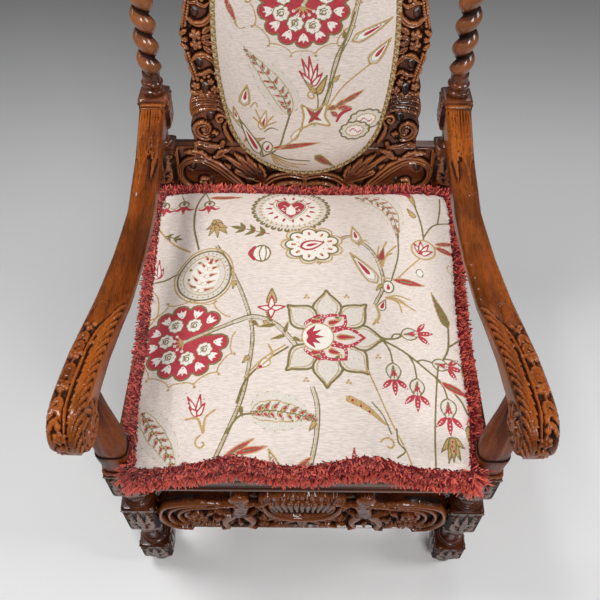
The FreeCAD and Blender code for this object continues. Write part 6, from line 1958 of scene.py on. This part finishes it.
for foot, tip in (((-50, -100), (-62, -76)), ((-44, -104), (-74, -108)), ((-28, -124), (-52, -132)),
        ((-30, -120), (-24, -98))):
    cloth.petal(foot, tip, 7, "olive", "tan", 1.2)
cloth.line("olive", [(-24, -146), (-60, -172), (-88, -204), (-100, -240)], 2.6)
cloth.line("tan", [(-28, -142), (-62, -166), (-90, -198)], 2.0)
cloth.petal((-52, -168), (-72, -184), 14, "pale", "tan", 2.0)
cloth.dot("berry", (-66, -180), 3.2)
cloth.line("tan", [(-62, -176), (-48, -160), (-54, -142)], 2.6)
cloth.line("olive", [(-114, -286), (-96, -262), (-76, -256)], 2.4)
cloth.wheat([(-78, -257), (-50, -252), (-14, -256), (16, -262)], 30, 8)
cloth.wheat([(-246, -246), (-226, -276), (-204, -306), (-184, -342)], 27, 8)
for tip in ((-176, -226), (-156, -224), (-172, -244), (-148, -238)):
    cloth.petal((-158, -258), tip, 8, "pale", "berry", 1.8)
    cloth.dot("berry", (tip[0] - 2, tip[1] + 6), 1.2)
cloth.line("tan", [(-176, -262), (-158, -262), (-148, -284), (-146, -262), (-132, -250)], 2.6)
cloth.line("tan", spiral((-150, -300), 12, 2, 100, 0.9), 2.2, False)
cloth.slim((-118, -324), (-72, -294), 9)
cloth.slim((-100, -316), (-52, -304), 9)
cloth.petal((-52, -66), (-52, -34), 16, "tan", "olive", 1.8)
for tip in ((-74, -70), (-52, -48), (-30, -70), (-52, -92)):
    cloth.petal((-52, -74), tip, 10, "pale", "berry", 1.9)
cloth.line("tan", [(98, -180), (110, -210), (130, -260), (152, -306), (166, -340)], 2.0)
cloth.line("tan", [(70, -232), (96, -246), (124, -270)], [9, 7, 3])
for share in (0.1, 0.35, 0.6):
    cloth.dot("berry", (70 + 50 * share, -231 - 34 * share), 2.2)
cloth.line("olive", [(104, -236), (120, -256), (132, -284)], 1.8)
cloth.line("tan", spiral((128, -300), 13, 3, 160, -0.8), 2.2, False)
cloth.line("olive", [(140, -276), (142, -296), (152, -308), (140, -318)], 2.0)
cloth.bud_leaf((-34, -342), (-50, -308), 12)
cloth.slim((-10, -334), (14, -318), 7)
for tip in ((64, -318), (76, -306), (88, -318)):
    cloth.petal((76, -340), tip, 8, "pale", "berry", 1.6)
cloth.line("red", [(-272, -20), (-262, -34), (-264, -60), (-254, -76)], [5, 6, 3])
cloth.line("tan", [(-262, -14), (-244, -36), (-240, -70), (-252, -92)], 2.0)
for tip in ((-258, 30), (-266, 16), (-240, 24), (-250, 44)):
    cloth.petal((-246, 4), tip, 7, "pale", "berry", 1.5)
cloth.line("olive", [(-214, 8), (-232, -2), (-252, -4)], 2.4)

count = right.size
top_points = np.stack([x, y, z], -1).reshape(-1, 3) / 1000
cushion = piece("cushion_top_cover", top_points, grid_faces(cover_across, cover_deep).tolist(),
    figured_cover, cloth.layers, 0)
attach(cushion, "cushion")
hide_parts("seat_cushion")

rim_x, rim_y, rim_z = rim_of(x), rim_of(y), rim_of(z)
way = np.stack([np.roll(rim_y, -1) - np.roll(rim_y, 1), np.roll(rim_x, 1) - np.roll(rim_x, -1)], 1)
way /= np.hypot(way[:, 0], way[:, 1])[:, None]
box_rows = []
low_z = low_seam + (rim_z - high_seam) * 0.15
for share in np.linspace(0, 1, 9):
    bulge = 2.2 * math.sin(math.pi * share) - 0.3
    box_rows.append(np.stack([rim_x + way[:, 0] * bulge, rim_y + way[:, 1] * bulge,
        rim_z * (1 - share) + low_z * share], 1))
for share in np.linspace(0.12, 1, 9):
    inset = 14.0 * share ** 2.2
    box_rows.append(np.stack([rim_x - way[:, 0] * inset, rim_y - way[:, 1] * inset,
        low_z + (cover_bottom - low_z) * math.sin(share * math.pi / 2)], 1))
around = len(rim_x)
wall_faces = []
for row in range(len(box_rows) - 1):
    here, below = np.arange(around) + row * around, np.arange(around) + (row + 1) * around
    wall_faces.append(np.stack([here, below, np.roll(below, -1), np.roll(here, -1)], 1))
sides = piece("cushion_boxing", np.vstack(box_rows) / 1000, np.vstack(wall_faces).tolist(), plain_cover,
    None, 0)
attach(sides, "cushion")
right, back = square(100, 104)
under_x, under_y = cushion_plan(right, back, 13.0)
edge = np.maximum(np.abs(right), np.abs(back))
under_z = cover_bottom + 0.35 * np.sin(9 * right) * np.sin(8 * back) * (1 - edge)
under = piece("cushion_under_cover", np.stack([under_x, under_y, under_z], -1).reshape(-1, 3) / 1000,
    grid_faces(100, 104, 0, True).tolist(), plain_cover, None, 0)
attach(under, "cushion")


# Fringe of the cushion: thick cut wool, madder red, in a row along each seam. Every yarn end is a
# short bent spill of its own, rooted in a core that is sewn into the seam.
def cut_wool():
    """Dull madder-red wool, each yarn a little different, with painted shade and light along it: darker at
    the roots, coral at the cut tips.
    """
    look = Finish("cut_wool")
    share = look.layer("tint")
    fleck = look.noise(700, (1, 1, 1), 2.0)
    colour = look.mix((share + (fleck - 0.5) * 0.3).between(0.05, 0.95), paint("6E101A"), paint("F0705E"))
    return look.shade({"Base Color": colour, "Roughness": 0.9 - fleck * 0.1,
        "Normal": look.bump(fleck, 0.0003), "Specular IOR Level": 0.15, "Sheen Weight": 0.4,
        "Sheen Roughness": 0.4})


wool = cut_wool()


def fringe(name, line, out, tufts, long, droop, seed, light=0.0):
    """A closed row of yarn ends along a seam, pressed flat where posts and arm supports stand."""
    dice = np.random.default_rng(seed)
    around = len(line)
    at = dice.random(tufts) * around
    low = at.astype(int)
    share = (at - low)[:, None]
    after = (low + 1) % around
    root = line[low] * (1 - share) + line[after] * share
    side = np.stack([out[:, 0], out[:, 1], np.zeros(around)], 1)
    way = side[low] * (1 - share) + side[after] * share
    along = np.stack([-way[:, 1], way[:, 0], np.zeros(tufts)], 1)
    up = np.array([0, 0, 1.0])
    pitch = (droop * (0.4 + 0.6 * (way[:, 1] < -0.6)) + dice.uniform(-1.0, 1.15, tufts))[:, None]
    yaw = dice.normal(0, 0.55, tufts)[:, None]
    root = root + up * dice.uniform(-3.0, 3.0, (tufts, 1)) + way * dice.uniform(-5.5, 9.5, (tufts, 1))
    heading = way * np.cos(pitch) * np.cos(yaw) + along * np.sin(yaw) + up * np.sin(pitch)
    corner = np.clip((np.abs(root[:, :1]) - 225) / 30, 0, 1) * np.clip((-312 - root[:, 1:2]) / 14, 0, 1)
    length = long * dice.uniform(0.7, 1.12, (tufts, 1)) * (1 + 0.75 * corner)
    spine, headings = [root], [heading]
    for _ in range(2):
        spine.append(spine[-1] + heading * length / 2)
        heading = heading + dice.normal(0, 0.36, (tufts, 3)) - up * 0.12
        heading /= np.linalg.norm(heading, axis=1, keepdims=True)
        headings.append(heading)
    rings = []
    for point, direction, radius in zip(spine, headings, (1.0, 1.35, 1.05)):
        first = np.cross(direction, up + 0.01)
        first /= np.linalg.norm(first, axis=1, keepdims=True)
        second = np.cross(direction, first)
        rings += [point + radius * (first * math.cos(angle) + second * math.sin(angle))
            for angle in (0, 2.1, 4.2)]
    points = np.stack(rings, 1).reshape(-1, 3)
    start = np.arange(tufts)[:, None] * 9
    faces = [start + np.array(face) for level in (0, 3)
        for face in ((level, level + 1, level + 4, level + 3),
        (level + 1, level + 2, level + 5, level + 4), (level + 2, level, level + 3, level + 5))]
    # Each yarn's tone differs at random. Painted shade darkens its root and painted light lifts its tip;
    # light makes a whole row lighter or darker, painted light for how the row faces the lamps.
    tone = dice.normal(0.4 + light, 0.27, tufts)[:, None] + np.repeat(np.array([-0.4, 0.0, 0.3]), 3)
    core_steps = 6
    turns = np.arange(core_steps) / core_steps * 2 * math.pi
    core = np.stack([line + side * 2.6 * math.cos(angle) + up * 2.6 * math.sin(angle) for angle in turns],
        1).reshape(-1, 3)
    base = np.arange(around)[:, None] * core_steps
    step = np.arange(core_steps)
    after = np.roll(np.arange(around), -1)[:, None] * core_steps
    core_faces = np.stack([base + step, after + step, after + (step + 1) % core_steps,
        base + (step + 1) % core_steps], -1).reshape(-1, 4)
    points = np.vstack([points, core])
    support_face, post_face, rail_face = 257.5, 206.0, 216.0
    beside_support = (points[:, 1] > -332) & (points[:, 1] < -280)
    pressed = np.clip(points[:, 0], -support_face, support_face)
    points[:, 0] = np.where(beside_support, pressed, points[:, 0])
    by_post = np.abs(points[:, 0]) > 228
    wall = np.where(by_post, post_face, rail_face) + (points[:, 2] - seat_level) * math.tan(lean)
    points[:, 1] = np.minimum(points[:, 1], wall)
    points[:, 2] = np.clip(points[:, 2], seat_level + 1.0, None)
    tips = np.stack([start[:, 0] + 6, start[:, 0] + 7, start[:, 0] + 8], 1)
    all_faces = np.vstack(faces).tolist() + tips.tolist() + (core_faces + tufts * 9).tolist()
    # The core, down among the roots, takes their dark tint: painted shade.
    tint = np.concatenate([np.clip(tone.ravel(), 0, 1), np.full(len(core), 0.12)])
    row = piece(name, points / 1000, all_faces, wool, {"tint": tint}, 60)
    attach(row, "cushion")
    return row


upper_seam = np.stack([rim_x, rim_y, rim_z], 1)
lower_seam = np.stack([rim_x + way[:, 0] * 1.5, rim_y + way[:, 1] * 1.5, low_z - 1.0], 1)
# The lower row is painted lighter than the upper one: painted light, where it faces the front lamp.
upper_row = fringe("cushion_fringe_upper_row", upper_seam, way, 14200, 11.5, -0.35, 3, -0.08)
lower_row = fringe("cushion_fringe_lower_row", lower_seam, way, 14200, 13.5, -0.9, 4, 0.28)
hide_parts("cushion_fringe_top")
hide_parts("cushion_fringe_bottom")


# The rest of the chair keeps the CAD's own shapes: rails, turned stretchers and finials in waxed oak,
# corner blocks, dowels and the back's board in raw beech, screws and tacks in blued steel.
def plain_steel():
    """Old blued steel with a little rust."""
    look = Finish("blued_steel")
    rust = look.noise(240, detail=4.0)
    colour = look.mix(rust.between(0.5, 0.68), paint("4B4845"), paint("6E4630"))
    return look.shade({"Base Color": colour, "Roughness": rust * 0.4 + 0.25,
        "Metallic": 1 - rust.between(0.55, 0.7), "Normal": look.bump(rust, 0.0002)})


raw_beech = waxed_oak("raw_beech", "z", "8A6A48", "A98560", "C2A078", 0.02)
steel = plain_steel()
for finish, nodes in (
        (oak_across, ("rear_seat_rail", "cross_stretcher", "rear_stretcher")),
        (oak_deep, ("side_seat_rail_left", "side_seat_rail_right", "side_stretcher_left",
            "side_stretcher_right")),
        (oak_upright, ("finial_left", "finial_right")),
        (raw_beech, ("seat_corner_blocks", "arm_support_dowels", "back_frame_dowels", "back_panel_board")),
        (steel, ("corner_block_screws", "arm_screws", "webbing_tacks"))):
    for node in nodes:
        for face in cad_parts[node].material_slots:
            face.material = finish
